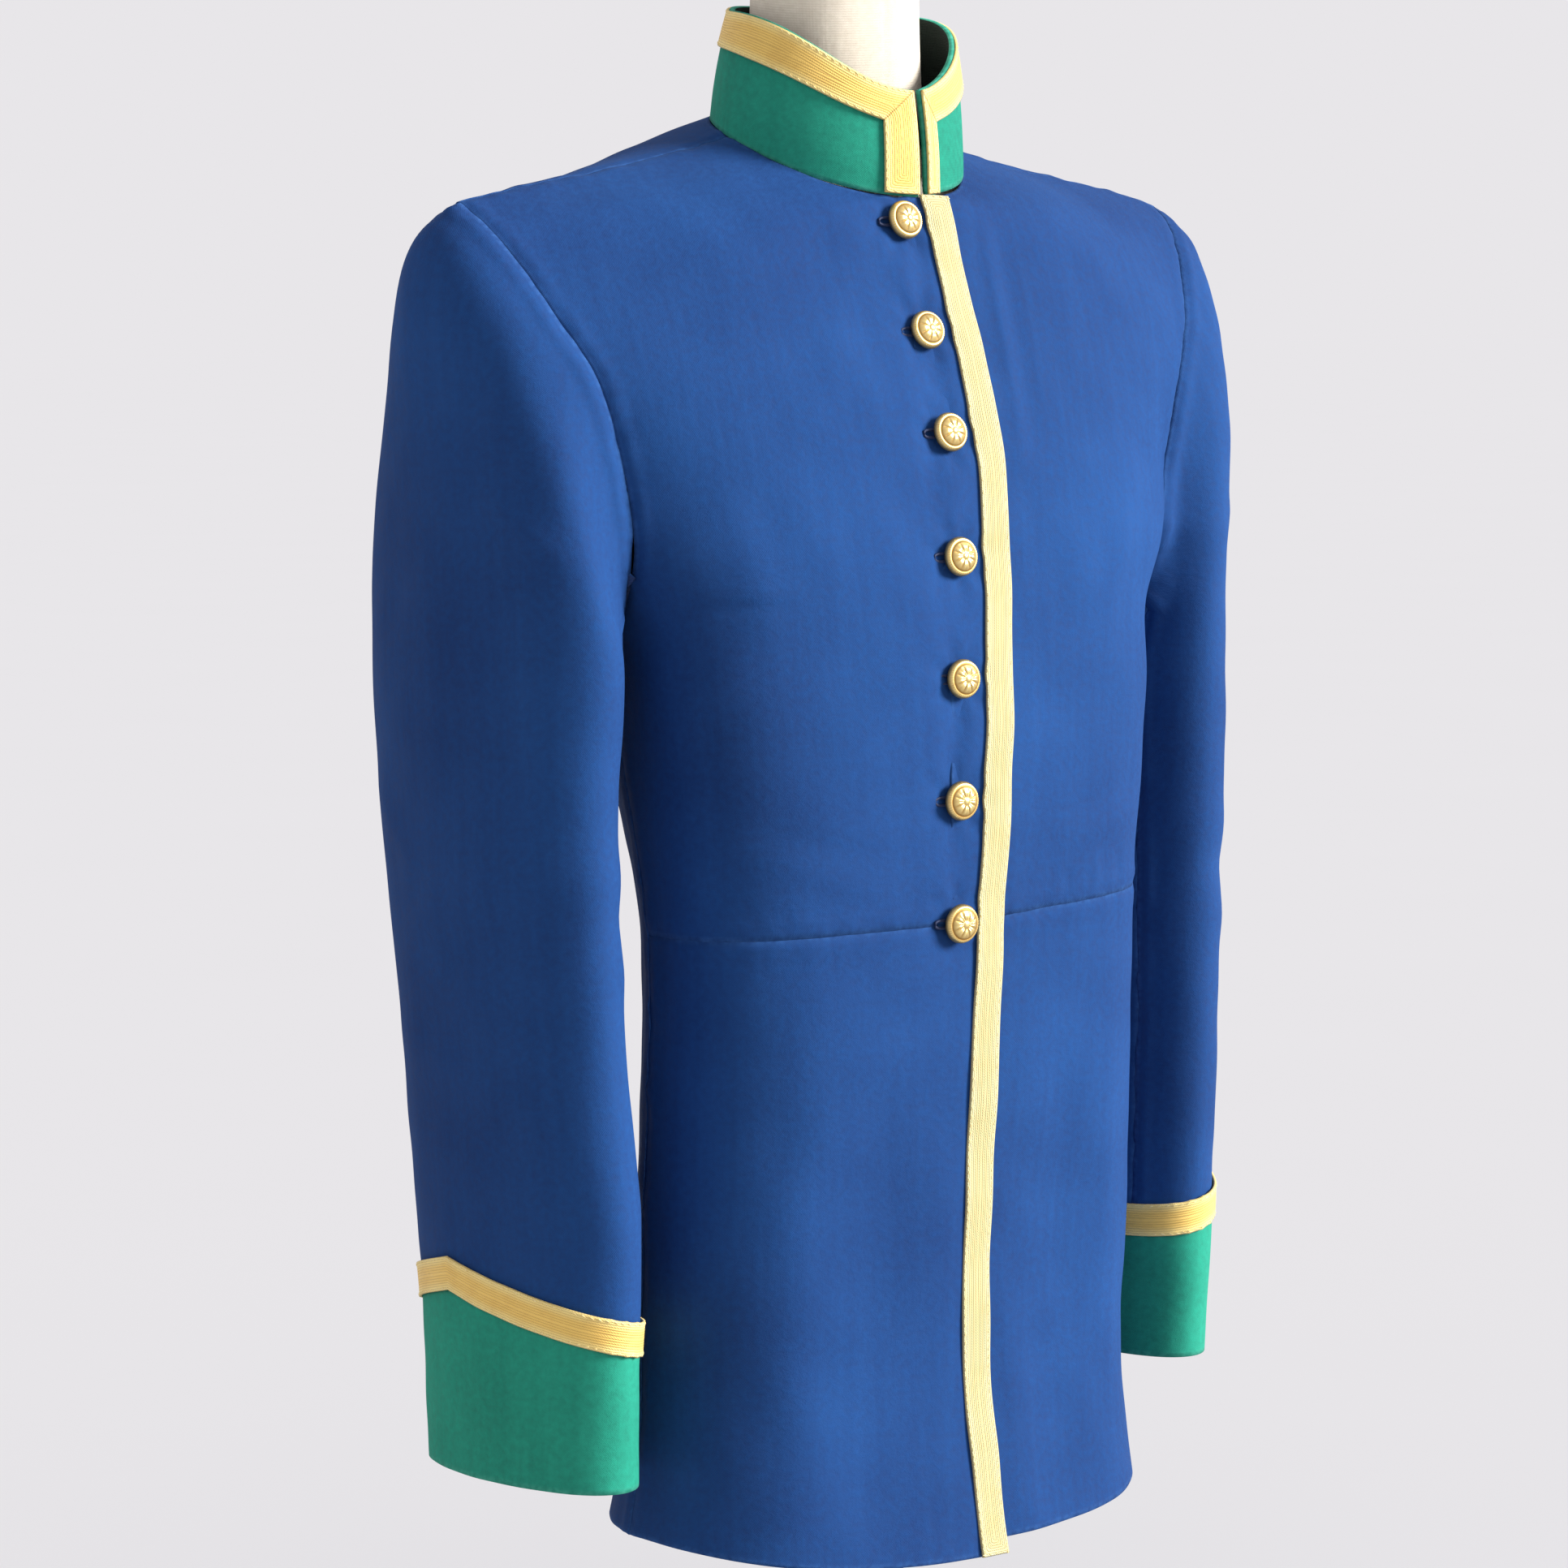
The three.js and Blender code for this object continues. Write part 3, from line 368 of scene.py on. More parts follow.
def wood(name):
    """Turned and varnished beech: faint rings and short dark rays."""
    graph = Graph(name)
    drawn = graph.node("ShaderNodeMapping", {"Vector": graph.space(), "Scale": (1.0, 0.12, 1.0)})
    ring = graph.noise(drawn, scale=90.0, detail=4.0, roughness=0.55)
    ray = graph.noise(drawn, scale=900.0, detail=2.0)
    colour = graph.mix(graph.span(ring, 0.35, 0.65), linear(176, 140, 98), linear(206, 174, 132))
    colour = graph.mix(graph.span(ray, 0.62, 0.72, 0.0, 0.5), colour, linear(122, 88, 56))
    return graph.finish(
        Base_Color=colour,
        Roughness=graph.span(ring, *MIDDLE, 0.32, 0.46),
        Normal=graph.bump(ray, distance=0.0001, strength=0.4),
        Coat_Weight=0.25,
    )


BLUE = wool("blue_wool", linear(17, 47, 96), linear(25, 66, 122), linear(58, 96, 150))
GREEN = wool("green_wool", linear(24, 112, 94), linear(38, 146, 122), linear(88, 168, 148))
# painted light: one braid in two copies, more golden for the collar and cuffs that lie more in shade, paler
# for the lit front
BRAID = braid("yellow_braid", linear(244, 220, 142), linear(238, 198, 104), linear(208, 160, 74))
LIT_FRONT_BRAID = braid("braid_for_lit_front", linear(196, 190, 146), linear(188, 178, 128), linear(178, 156, 96))
BLUE_BACK = plain_cloth("blue_cloth_back", linear(26, 44, 84), linear(38, 62, 110), 0.0009, 0.0003)
COLLAR_LINING = plain_cloth("collar_lining", linear(14, 24, 22), linear(30, 42, 38), 0.0008, 0.0003)
LINEN = plain_cloth("form_linen", linear(218, 206, 188), linear(232, 222, 206), 0.0006, 0.00025)
GILT = gilt("gilt_brass")
IRON = iron("black_iron")
WOOD = wood("neck_cap_beech")
YELLOW_THREAD = thread("yellow_thread", linear(206, 174, 96), linear(250, 236, 184))
BLUE_THREAD = thread("blue_thread", linear(14, 24, 52), linear(30, 48, 92))


# ---- skins out of the solids
def garment(points):
    """Row-frame metres to garment millimetres."""
    return points / MM - DATUM


def smooth_islands(bm):
    """Groups of faces that meet without a sharp edge."""
    left = set(bm.faces)
    groups = []
    while left:
        stack = [left.pop()]
        group = list(stack)
        while stack:
            for edge in stack.pop().edges:
                if len(edge.link_faces) != 2 or edge.calc_face_angle() > SMOOTH_EDGE:
                    continue
                for face in edge.link_faces:
                    if face in left:
                        left.remove(face)
                        stack.append(face)
                        group.append(face)
        groups.append(group)
    return groups


def outward_share(group, core):
    """Area of the group's faces, counted negative where they face the core."""
    total = 0.0
    for face in group:
        middle = face.calc_center_median()
        away = (middle - core(middle)).normalized()
        total += face.calc_area() * face.normal.dot(away)
    return total


def body_core(point):
    """The place on the body's axis that an outer wall faces away from, at this point."""
    top = (DATUM[2] - BODY_CORE_DROP) * MM
    return Vector((0, DATUM[1] * MM, min(point.z, top)))


def node_core(node):
    """The same for a sleeve or a cuff, on the upright axis of its own box."""
    low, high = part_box(node)
    middle = (low + high) / 2
    top = high.z - LIMB_CORE_DROP * MM

    def core(point):
        return Vector((middle.x, middle.y, min(point.z, top)))
    return core


def keep_corners(bm, least):
    """Holds the points of the sheet's edge that turn by more than this."""
    crease = bm.verts.layers.float.new("crease_vert")
    for vertex in bm.verts:
        rim = [edge for edge in vertex.link_edges if edge.is_boundary]
        if len(rim) != 2:
            continue
        ways = [(edge.other_vert(vertex).co - vertex.co).normalized() for edge in rim]
        if math.pi - ways[0].angle(ways[1]) > least:
            vertex[crease] = 1.0


def outer_skin(node, core=body_core, corner=SQUARE_CORNER):
    """The outer wall of a cloth solid as an open sheet of quads, with its corners kept from this angle."""
    bm = bmesh.new()
    bm.from_mesh(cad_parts[node].data)
    bmesh.ops.remove_doubles(bm, verts=bm.verts, dist=WELD)
    bm.normal_update()
    outer = max(smooth_islands(bm), key=lambda group: outward_share(group, core))
    keep = set(outer)
    bmesh.ops.delete(bm, geom=[f for f in bm.faces if f not in keep], context="FACES")
    bmesh.ops.join_triangles(
        bm, faces=bm.faces, angle_face_threshold=math.pi, angle_shape_threshold=math.pi
    )
    keep_corners(bm, corner)
    mesh = bpy.data.meshes.new(node + "_skin")
    bm.to_mesh(mesh)
    bm.free()
    return add_object(node + "_cloth", mesh)


def coordinates(mesh):
    flat = np.empty(len(mesh.vertices) * 3)
    mesh.vertices.foreach_get("co", flat)
    return flat.reshape(-1, 3)


def normals(mesh):
    flat = np.empty(len(mesh.vertices) * 3, np.float32)
    mesh.vertex_normals.foreach_get("vector", flat)
    return flat.reshape(-1, 3).astype(float)


def move_to(mesh, places):
    """Moves the vertices to these places, in metres."""
    mesh.vertices.foreach_set("co", places.astype(np.float32).ravel())
    mesh.update()


def rim_keys(mesh):
    """The pairs of vertices along the sheet's edges."""
    used = {}
    for polygon in mesh.polygons:
        for key in polygon.edge_keys:
            used[key] = used.get(key, 0) + 1
    return [key for key, count in used.items() if count == 1]


def boundary(mesh):
    """Indices of the vertices on the sheet's edges."""
    return sorted({vertex for key in rim_keys(mesh) for vertex in key})


def lay_flat(made):
    """Unwraps the sheet into its cut, in metres, with the grain upright."""
    bpy.ops.object.select_all(action="DESELECT")
    made.select_set(True)
    bpy.context.view_layer.objects.active = made
    mesh = made.data
    mesh.uv_layers.new(name="cut")
    bpy.ops.object.mode_set(mode="EDIT")
    bpy.ops.mesh.select_all(action="SELECT")
    bpy.ops.uv.unwrap(method="ANGLE_BASED", margin=0)
    bpy.ops.object.mode_set(mode="OBJECT")
    layer = mesh.uv_layers["cut"]
    flat = np.empty(len(layer.data) * 2)
    layer.data.foreach_get("uv", flat)
    flat = flat.reshape(-1, 2)
    corners = np.empty(len(mesh.loops), int)
    mesh.loops.foreach_get("vertex_index", corners)
    heights = coordinates(mesh)[corners, 2]
    centred = flat - flat.mean(0)
    slope = centred.T @ (heights - heights.mean())
    turn = math.atan2(slope[0], slope[1])
    turned = centred @ np.array([[math.cos(turn), math.sin(turn)], [-math.sin(turn), math.cos(turn)]])
    flat_area = 0.0
    real_area = 0.0
    for polygon in mesh.polygons:
        pts = turned[polygon.loop_start:polygon.loop_start + polygon.loop_total]
        x, y = pts[:, 0], pts[:, 1]
        flat_area += abs(np.dot(x, np.roll(y, -1)) - np.dot(y, np.roll(x, -1))) / 2
        real_area += polygon.area
    turned *= math.sqrt(real_area / flat_area)
    layer.data.foreach_set("uv", turned.astype(np.float32).ravel())


BESIDE = math.radians(8)  # a band's lower edge lies below its mean edge height this near


def roll_out(made):
    """Lays a closed band out flat by the length of its lower edge, in metres, with a seam behind."""
    mesh = made.data
    places = coordinates(mesh)
    middle = places.mean(0)
    angles = np.arctan2(places[:, 0] - middle[0], middle[1] - places[:, 1])
    rim = np.array(boundary(mesh))
    turned = np.abs((angles[rim][:, None] - angles[rim] + math.pi) % (2 * math.pi) - math.pi)
    beside = (turned < BESIDE).astype(float)
    level = beside @ places[rim, 2] / beside.sum(1)
    lower = rim[places[rim, 2] < level]
    lower = lower[np.argsort(angles[lower])]
    around = np.linalg.norm(np.diff(places[np.append(lower, lower[0])], axis=0), axis=1)
    length = around.sum()
    turns = np.concatenate([angles[lower], [angles[lower[0]] + 2 * math.pi]])
    lengths = np.concatenate([[0.0], np.cumsum(around)])
    layer = mesh.uv_layers.new(name="cut")
    for polygon in mesh.polygons:
        own = np.array([angles[vertex] for vertex in polygon.vertices])
        if own.max() - own.min() > math.pi:
            own[own < 0] += 2 * math.pi
        for loop, vertex, angle in zip(polygon.loop_indices, polygon.vertices, own):
            whole = math.floor((angle - turns[0]) / (2 * math.pi))
            along = np.interp(angle - whole * 2 * math.pi, turns, lengths) + whole * length
            layer.data[loop].uv = (along, places[vertex][2])


def apply_modifiers(made):
    graph = bpy.context.evaluated_depsgraph_get()
    fresh = bpy.data.meshes.new_from_object(made.evaluated_get(graph), depsgraph=graph)
    made.modifiers.clear()
    old = made.data
    made.data = fresh
    bpy.data.meshes.remove(old)


def refine(made, levels):
    """Subdivides the mesh smoothly with its corners kept."""
    modifier = made.modifiers.new("smooth", "SUBSURF")
    modifier.levels = levels
    modifier.render_levels = levels
    modifier.boundary_smooth = "PRESERVE_CORNERS"
    apply_modifiers(made)


def tree_of(points):
    tree = KDTree(len(points))
    for index, point in enumerate(points):
        tree.insert(point, index)
    tree.balance()
    return tree


def nearest_distance(points, targets):
    """How far each point is from the closest target."""
    tree = tree_of(targets)
    return np.array([tree.find(point)[2] for point in points])


def write_attribute(mesh, name, values):
    layer = mesh.attributes.new(name, "FLOAT", "POINT")
    layer.data.foreach_set("value", np.asarray(values, np.float32))


def mark_edge(made):
    """Writes each point's distance from the sheet's edge, and gives the garment points."""
    places = garment(coordinates(made.data))
    write_attribute(made.data, "edge", nearest_distance(places, places[boundary(made.data)]))
    return places


def thicken(made, wall, outside, inside):
    """Gives the sheet its wall, inwards, with its back in another material."""
    made.data.materials.clear()
    made.data.materials.append(outside)
    made.data.materials.append(inside)
    for polygon in made.data.polygons:
        polygon.material_index = 0
        polygon.use_smooth = True
    modifier = made.modifiers.new("wall", "SOLIDIFY")
    modifier.thickness = wall * MM
    modifier.offset = -1
    modifier.material_offset = 1
    modifier.use_even_offset = False
    apply_modifiers(made)


# ---- folds
WAVES = 12
WAVE_SPREAD = (0.75, 1.6)  # the waves' lengths, against the one asked for
FOLD_TAPER = (0.06, 0.88)  # where on a half wave a fold's ends lie, so that it fades towards them


def step(low, high, value):
    share = np.clip((value - low) / (high - low), 0, 1)
    return share * share * (3 - 2 * share)


def bell(value, width):
    return np.exp(-((value / width) ** 2))


def ripple(points, wavelength, seed):
    """Smooth seeded noise, about -1.5 to 1.5, from waves that run every way."""
    rng = np.random.default_rng(seed)
    ways = rng.normal(size=(WAVES, 3))
    ways /= np.linalg.norm(ways, axis=1)[:, None]
    ways *= 2 * np.pi / (wavelength * rng.uniform(*WAVE_SPREAD, WAVES)[:, None])
    return np.sin(points @ ways.T + rng.uniform(0, 2 * np.pi, WAVES)).sum(1) / math.sqrt(WAVES / 2)


def fold(flat, start, end, width, height):
    """A straight soft ridge, or a crease where height is negative, in a flat projection."""
    start, end = np.array(start, float), np.array(end, float)
    way = end - start
    share = np.clip(((flat - start) @ way) / (way @ way), 0, 1)
    apart = np.linalg.norm(flat - start - share[:, None] * way, axis=1)
    taper = np.sqrt(np.clip(np.sin(np.pi * (FOLD_TAPER[0] + FOLD_TAPER[1] * share)), 0, 1))
    return height * taper * bell(apart, width)


def folds(flat, table):
    return sum(fold(flat, *row) for row in table)


def button_frames():
    """Each button's node, its middle in garment millimetres and the way it faces."""
    made = []
    for name in sorted(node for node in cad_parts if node.startswith("button_")):
        points = coordinates(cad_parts[name].data)
        middle = points.mean(0)
        spread = np.cov((points - middle).T)
        facing = np.linalg.eigh(spread)[1][:, 0]
        if facing[1] > 0:
            facing = -facing
        made.append((name, garment(middle), facing))
    return made


BUTTONS = button_frames()

# Fold tables: start, end, width, height, in garment millimetres (x or y across, z up).
RIGHT_FRONT_FOLDS = [
    ((-146, -177), (-108, -175), 3.0, -0.6),
    ((-146, -170), (-104, -168), 5.0, 0.4),
    ((-132, -120), (-112, -205), 10.0, 0.7),
    ((-118, -300), (-60, -318), 7.0, 0.6),
    ((-118, -286), (-56, -300), 6.0, -0.5),
    ((-60, -40), (-96, -96), 12.0, 0.6),
    ((-44, 10), (-70, -70), 10.0, 0.6),
]
LEFT_FRONT_FOLDS = [
    ((44, 6), (40, -110), 5.0, 1.1),
    ((54, 0), (50, -96), 6.0, -0.8),
    ((60, -300), (110, -288), 7.0, 0.9),
    ((52, -286), (116, -272), 6.0, -0.7),
    ((60, -318), (60, -344), 4.0, -1.0),
    ((80, -312), (82, -340), 4.0, 1.0),
    ((98, -306), (100, -336), 4.0, -0.9),
    ((120, -110), (92, -190), 9.0, 1.2),
]
SKIRT_FOLDS = [
    ((-96, -370), (-104, -640), 16.0, 1.8),
    ((-54, -380), (-62, -650), 18.0, -1.4),
    ((-18, -400), (-16, -650), 14.0, 0.9),
    ((96, -370), (104, -640), 15.0, 1.8),
    ((58, -380), (64, -650), 16.0, -1.5),
    ((26, -520), (34, -650), 12.0, 1.6),
]
BACK_FOLDS = [
    ((-60, -60), (-104, -190), 10.0, 1.4),
    ((60, -60), (104, -190), 10.0, 1.4),
    ((-76, -60), (-116, -170), 8.0, -1.0),
    ((76, -60), (116, -170), 8.0, -1.0),
    ((-90, -330), (-24, -350), 8.0, 1.2),
    ((90, -324), (26, -346), 8.0, 1.2),
    ((-94, -350), (-20, -366), 7.0, -1.0),
    ((92, -344), (22, -362), 7.0, -1.0),
    ((-100, -308), (-40, -330), 8.0, 0.9),
    ((-54, -420), (-60, -640), 18.0, 2.2),
    ((54, -420), (60, -640), 18.0, 2.2),
    ((-96, -420), (-104, -640), 16.0, -1.6),
    ((96, -420), (104, -640), 16.0, -1.6),
]
# Sleeves in their own side view: y across and z.
SLEEVE_FOLDS = [
    ((-62, -150), (-30, -120), 7.0, 1.6),
    ((-70, -300), (30, -330), 11.0, 1.5),
    ((-74, -322), (20, -352), 9.0, -1.4),
    ((-70, -352), (36, -372), 11.0, 1.3),
    ((40, -300), (74, -270), 9.0, 1.2),
    ((-40, -420), (60, -392), 12.0, 1.0),
    ((-66, -470), (0, -450), 10.0, 0.9),
    ((20, -130), (10, -250), 16.0, 1.2),
    ((-24, -120), (-36, -260), 14.0, -1.2),
]
BUTTON_DIP = {"depth": 2.4, "from": 4, "width": 11.0}
PUCKER = {"height": 0.55, "reach": 15.0, "width": 7.0, "rays": 7}
# Uneven upright folds between two buttons, a little beside the line that joins them.
DRAG = {"height": 0.9, "low": 0.4, "spacing": 24.0, "width": 13.0, "aside": 2, "power": 0.8, "seed": 31}
DRAG_STRETCH = np.array([1.0, 1.0, 0.35])
EDGE_WAVE = {"height": 0.5, "length": 62.0, "from": -30, "to": 10}  # along the braided front edge
SKIRT_DIP_TO = 30  # the last button dips the skirts up to this far across
SLOW_RIPPLES = [(0.55, 95.0, 11), (0.16, 30.0, 12)]  # height, wavelength and seed, over the seams
COLLAR_RIPPLES = [(0.25, 60.0, 21)]  # the same for the stiff collar and its braid


def button_dip(apart):
    """How far the cloth sinks this far from a button's middle."""
    return BUTTON_DIP["depth"] * bell(apart - BUTTON_DIP["from"], BUTTON_DIP["width"])


def button_pull(points):
    """Each button draws the cloth in, with short puckers round it and folds to the next."""
    total = np.zeros(len(points))
    for index, (_, middle, _) in enumerate(BUTTONS):
        dx = points[:, 0] - middle[0]
        dz = points[:, 2] - middle[2]
        apart = np.hypot(dx, dz)
        total -= button_dip(apart)
        ring = bell(apart - PUCKER["reach"], PUCKER["width"])
        total += PUCKER["height"] * ring * np.sin(PUCKER["rays"] * np.arctan2(dz, dx) + index)
    for index, (above, below) in enumerate(zip(BUTTONS, BUTTONS[1:])):
        top, foot = above[1], below[1]
        share = np.clip((points[:, 2] - foot[2]) / (top[2] - foot[2]), 0, 1)
        dx = points[:, 0] - (foot[0] + (top[0] - foot[0]) * share)
        drawn = np.sin(np.pi * share) ** DRAG["power"] * bell(dx + DRAG["aside"], DRAG["width"])
        uneven = ripple(points * DRAG_STRETCH, DRAG["spacing"], DRAG["seed"] + index)
        total += DRAG["height"] * drawn * (uneven - DRAG["low"])
    return total


def front_right_shape(points):
    edge_wave = EDGE_WAVE["height"] * np.sin(points[:, 2] * 2 * np.pi / EDGE_WAVE["length"])
    edge_wave *= step(EDGE_WAVE["from"], EDGE_WAVE["to"], points[:, 0])
    return folds(points[:, [0, 2]], RIGHT_FRONT_FOLDS) + button_pull(points) + edge_wave


def front_left_shape(points):
    return folds(points[:, [0, 2]], LEFT_FRONT_FOLDS)


def skirt_shape(points):
    last_button = BUTTONS[-1][1]
    apart = np.hypot(points[:, 0] - last_button[0], points[:, 2] - last_button[2])
    return folds(points[:, [0, 2]], SKIRT_FOLDS) - button_dip(apart) * (points[:, 0] < SKIRT_DIP_TO)


def back_shape(points):
    return folds(points[:, [0, 2]], BACK_FOLDS)


def sleeve_shape(points):
    return folds(points[:, [1, 2]], SLEEVE_FOLDS)


def ripples(points, table=SLOW_RIPPLES):
    """The cloth's slow unevenness."""
    return sum(height * ripple(points, wavelength, seed) for height, wavelength, seed in table)


# ---- seams
SEAM_GROOVE = {"depth": 0.45, "width": 3.0}
SEAM_ROLL = {"height": 0.45, "from": 6.0, "width": 3.5}
HEAD_ROLL = 2.2  # the roll beside the sleeves' seams, against the others'
SEAM_PUCKER = {"height": 0.22, "wavelength": 11.0, "width": 9.0, "seed": 13}
SEAM_FADE = 14.0  # folds die out this close to a seam
SEAM_LAP = {"depth": 0.22, "width": 1.6, "length": 0.5}
SEAM_RANK = ["skirt", "front", "back", "sleeve_under", "sleeve_top"]  # later ones lie over
CLOSING = {"body": 1.2, "sleeve": 1.6, "collar": 3.0}  # seam edges this close are drawn together
ARMHOLE = {"reach": 18.0, "lowest": -190.0}  # and the sleeve heads to the body, above this height
CLOSING_FADE = 14.0  # how far from a seam the cloth follows its edge
SKINS = {}  # the sheet of each node
SEAMS = {}  # the points of its seams
UNDER = {}  # and of the seams where it lies under its neighbour


def rim_points(mesh):
    """Closely spaced points along the sheet's edges."""
    places = coordinates(mesh)
    pairs = np.array(rim_keys(mesh))
    start, end = places[pairs[:, 0]], places[pairs[:, 1]]
    return np.vstack([start + (end - start) * share for share in (0.0, 0.25, 0.5, 0.75)])


def close_up(node, others, reach, share, lowest):
    """Draws the node's seam edges onto the edges of its neighbours, by a share of the gap."""
    mesh = SKINS[node].data
    tree = tree_of(np.vstack([rim_points(SKINS[name].data) for name in others]))
    places = coordinates(mesh)
    rim = boundary(mesh)
    shifts = np.zeros((len(rim), 3))
    for index, vertex in enumerate(rim):
        target, _, apart = tree.find(places[vertex])
        if apart < reach * MM and garment(places[vertex])[2] > lowest:
            shifts[index] = (np.array(target) - places[vertex]) * share
    follow = tree_of(places[rim])
    moved = places.copy()
    for vertex, place in enumerate(places):
        _, index, apart = follow.find(place)
        moved[vertex] += shifts[index] * float(1 - step(0, CLOSING_FADE, apart / MM))
    return moved


def close_all(nodes, others, reach, share, lowest=-math.inf):
    """Closes several nodes at once, each from where its neighbours were."""
    made = {node: close_up(node, [n for n in others if n != node], reach, share, lowest) for node in nodes}
    for node, moved in made.items():
        move_to(SKINS[node].data, moved)


def seam_points(node, others):
    """The boundary points of a skin that lie on another skin's edge."""
    mesh = SKINS[node].data
    edges = garment(coordinates(mesh)[boundary(mesh)])
    near = [garment(rim_points(SKINS[name].data)) for name in others if name != node]
    if not near:
        return np.zeros((0, 3))
    return edges[nearest_distance(edges, np.vstack(near)) < SEAM_REACH]


def lap(node):
    """Carries the seam edges a little past their neighbours."""
    mesh = SKINS[node].data
    places = coordinates(mesh)
    rim = boundary(mesh)
    seam = nearest_distance(garment(places[rim]), SEAMS[node]) < ON_SEAM
    middles = {}
    for polygon in mesh.polygons:
        for vertex in polygon.vertices:
            middles.setdefault(vertex, []).append(np.array(polygon.center))
    facing = normals(mesh)
    for vertex, on_seam in zip(rim, seam):
        if on_seam:
            way = places[vertex] - np.mean(middles[vertex], axis=0)
            way -= facing[vertex] * (way @ facing[vertex])
            places[vertex] += way / np.linalg.norm(way) * SEAM_LAP["length"] * MM
    move_to(mesh, places)


def rank(node):
    return max(index for index, start in enumerate(SEAM_RANK) if node.startswith(start))


def cloth_offset(points, node, shape, groove=True):
    """How far the cloth of a node moves outwards at these garment points."""
    apart = nearest_distance(points, SEAMS[node])
    total = ripples(points) + shape(points) * step(0, SEAM_FADE, apart)
    if groove:
        total -= SEAM_GROOVE["depth"] * bell(apart, SEAM_GROOVE["width"])
        roll = HEAD_ROLL if "sleeve" in node else 1.0
        total += roll * SEAM_ROLL["height"] * bell(apart - SEAM_ROLL["from"], SEAM_ROLL["width"])
        pucker = ripple(points, SEAM_PUCKER["wavelength"], SEAM_PUCKER["seed"])
        total += SEAM_PUCKER["height"] * pucker * bell(apart, SEAM_PUCKER["width"])
        under = nearest_distance(points, UNDER[node]) if len(UNDER[node]) else FAR
        total -= SEAM_LAP["depth"] * bell(under, SEAM_LAP["width"])
    return total


def push(made, offset):
    """Moves the sheet along its normals by millimetres."""
    mesh = made.data
    move_to(mesh, coordinates(mesh) + normals(mesh) * (offset * MM)[:, None])


# ---- the cloth pieces
# The folds of each node and how often its sheet is subdivided.
BODY_CLOTH = {
    "front_right": (front_right_shape, 3),
    "front_left": (front_left_shape, 3),
    "skirt_right": (skirt_shape, 3),
    "skirt_left": (skirt_shape, 3),
    "back_right": (back_shape, 3),
    "back_left": (back_shape, 3),
}
SLEEVE_CLOTH = {
    "sleeve_top_right": (sleeve_shape, 3),
    "sleeve_top_left": (sleeve_shape, 3),
    "sleeve_under_right": (sleeve_shape, 2),
    "sleeve_under_left": (sleeve_shape, 2),
}
CLOTH_NODES = {**BODY_CLOTH, **SLEEVE_CLOTH}


def declare(piece, node):
    """Hangs a cloth piece on the root body and hides the solid it grew out of."""
    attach(piece, "root")
    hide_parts(node)


def core_of(node):
    """What a node's outer wall faces away from. An under sleeve shares its top sleeve's."""
    if "sleeve" in node:
        return node_core(node.replace("under", "top"))
    return node_core(node) if "cuff" in node else body_core


def declare_rigid(made, material, node=None):
    """Gives a smooth rigid piece its material, hangs it on the root body and hides the node it takes the
    place of, if any.
    """
    made.data.materials.clear()
    made.data.materials.append(material)
    for polygon in made.data.polygons:
        polygon.use_smooth = True
    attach(made, "root")
    if node:
        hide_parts(node)


for cloth_node in CLOTH_NODES:
    skin = outer_skin(cloth_node, core_of(cloth_node))
    lay_flat(skin)
    SKINS[cloth_node] = skin
SKINS["collar"] = outer_skin("collar")
lay_flat(SKINS["collar"])
for cloth_node, (_, levels) in CLOTH_NODES.items():
    refine(SKINS[cloth_node], levels)
refine(SKINS["collar"], 3)
# Neighbours meet halfway. The sleeve heads and the collar go all the way to the body.
close_all(BODY_CLOTH, BODY_CLOTH, CLOSING["body"], 0.5)
close_all(SLEEVE_CLOTH, SLEEVE_CLOTH, CLOSING["sleeve"], 0.5)
close_all(SLEEVE_CLOTH, BODY_CLOTH, ARMHOLE["reach"], 1.0, ARMHOLE["lowest"])
close_all(["collar"], BODY_CLOTH, CLOSING["collar"], 1.0)
for cloth_node in CLOTH_NODES:
    SEAMS[cloth_node] = seam_points(cloth_node, CLOTH_NODES)
    over = [name for name in CLOTH_NODES if rank(name) > rank(cloth_node)]
    UNDER[cloth_node] = seam_points(cloth_node, over)
for cloth_node in CLOTH_NODES:
    lap(cloth_node)

for cloth_node, (shape, _) in CLOTH_NODES.items():
    skin = SKINS[cloth_node]
    push(skin, cloth_offset(mark_edge(skin), cloth_node, shape))
    thicken(skin, CLOTH, BLUE, BLUE_BACK)
    declare(skin, cloth_node)

collar = SKINS["collar"]
push(collar, ripples(mark_edge(collar), COLLAR_RIPPLES))
thicken(collar, COLLAR_WALL, GREEN, COLLAR_LINING)
declare(collar, "collar")

# ---- stitches
STITCH = {"length": 2.2, "spacing": 3.4, "radius": 0.28, "inset": 1.0, "lift": 0.08, "slant": 0.35}
STITCH_ENDS = (0.08, 0.84)  # where on a half wave a stitch's ends lie, so that it swells between
STITCH_SIDES = 6
STITCH_RINGS = 5


def rim_loops(mesh):
    """The sheet's edge as closed loops of vertices."""
    links = {}
    for here, there in rim_keys(mesh):
        links.setdefault(here, []).append(there)
        links.setdefault(there, []).append(here)
    loops = []
    left = set(links)
    while left:
        loop = [min(left)]
        left.discard(loop[0])
        onward = True
        while onward:
            onward = [vertex for vertex in links[loop[-1]] if vertex in left]
            loop += onward[:1]
            left.difference_update(onward[:1])
        loops.append(loop)
    return loops


def sewn_rims(mesh):
    """The sheet's edge, as loops of (start, end, middle of the face beside, normal), in metres."""
    places, facing = coordinates(mesh), normals(mesh)
    middles = {}
    for polygon in mesh.polygons:
        for key in polygon.edge_keys:
            middles[key] = np.array(polygon.center)
    rims = []
    for loop in rim_loops(mesh):
        rim = []
        for here, there in zip(loop, loop[1:] + loop[:1]):
            middle = middles.get((min(here, there), max(here, there)))
            if middle is not None:
                rim.append((places[here], places[there], middle, facing[here]))
        rims.append(rim)
    return rims


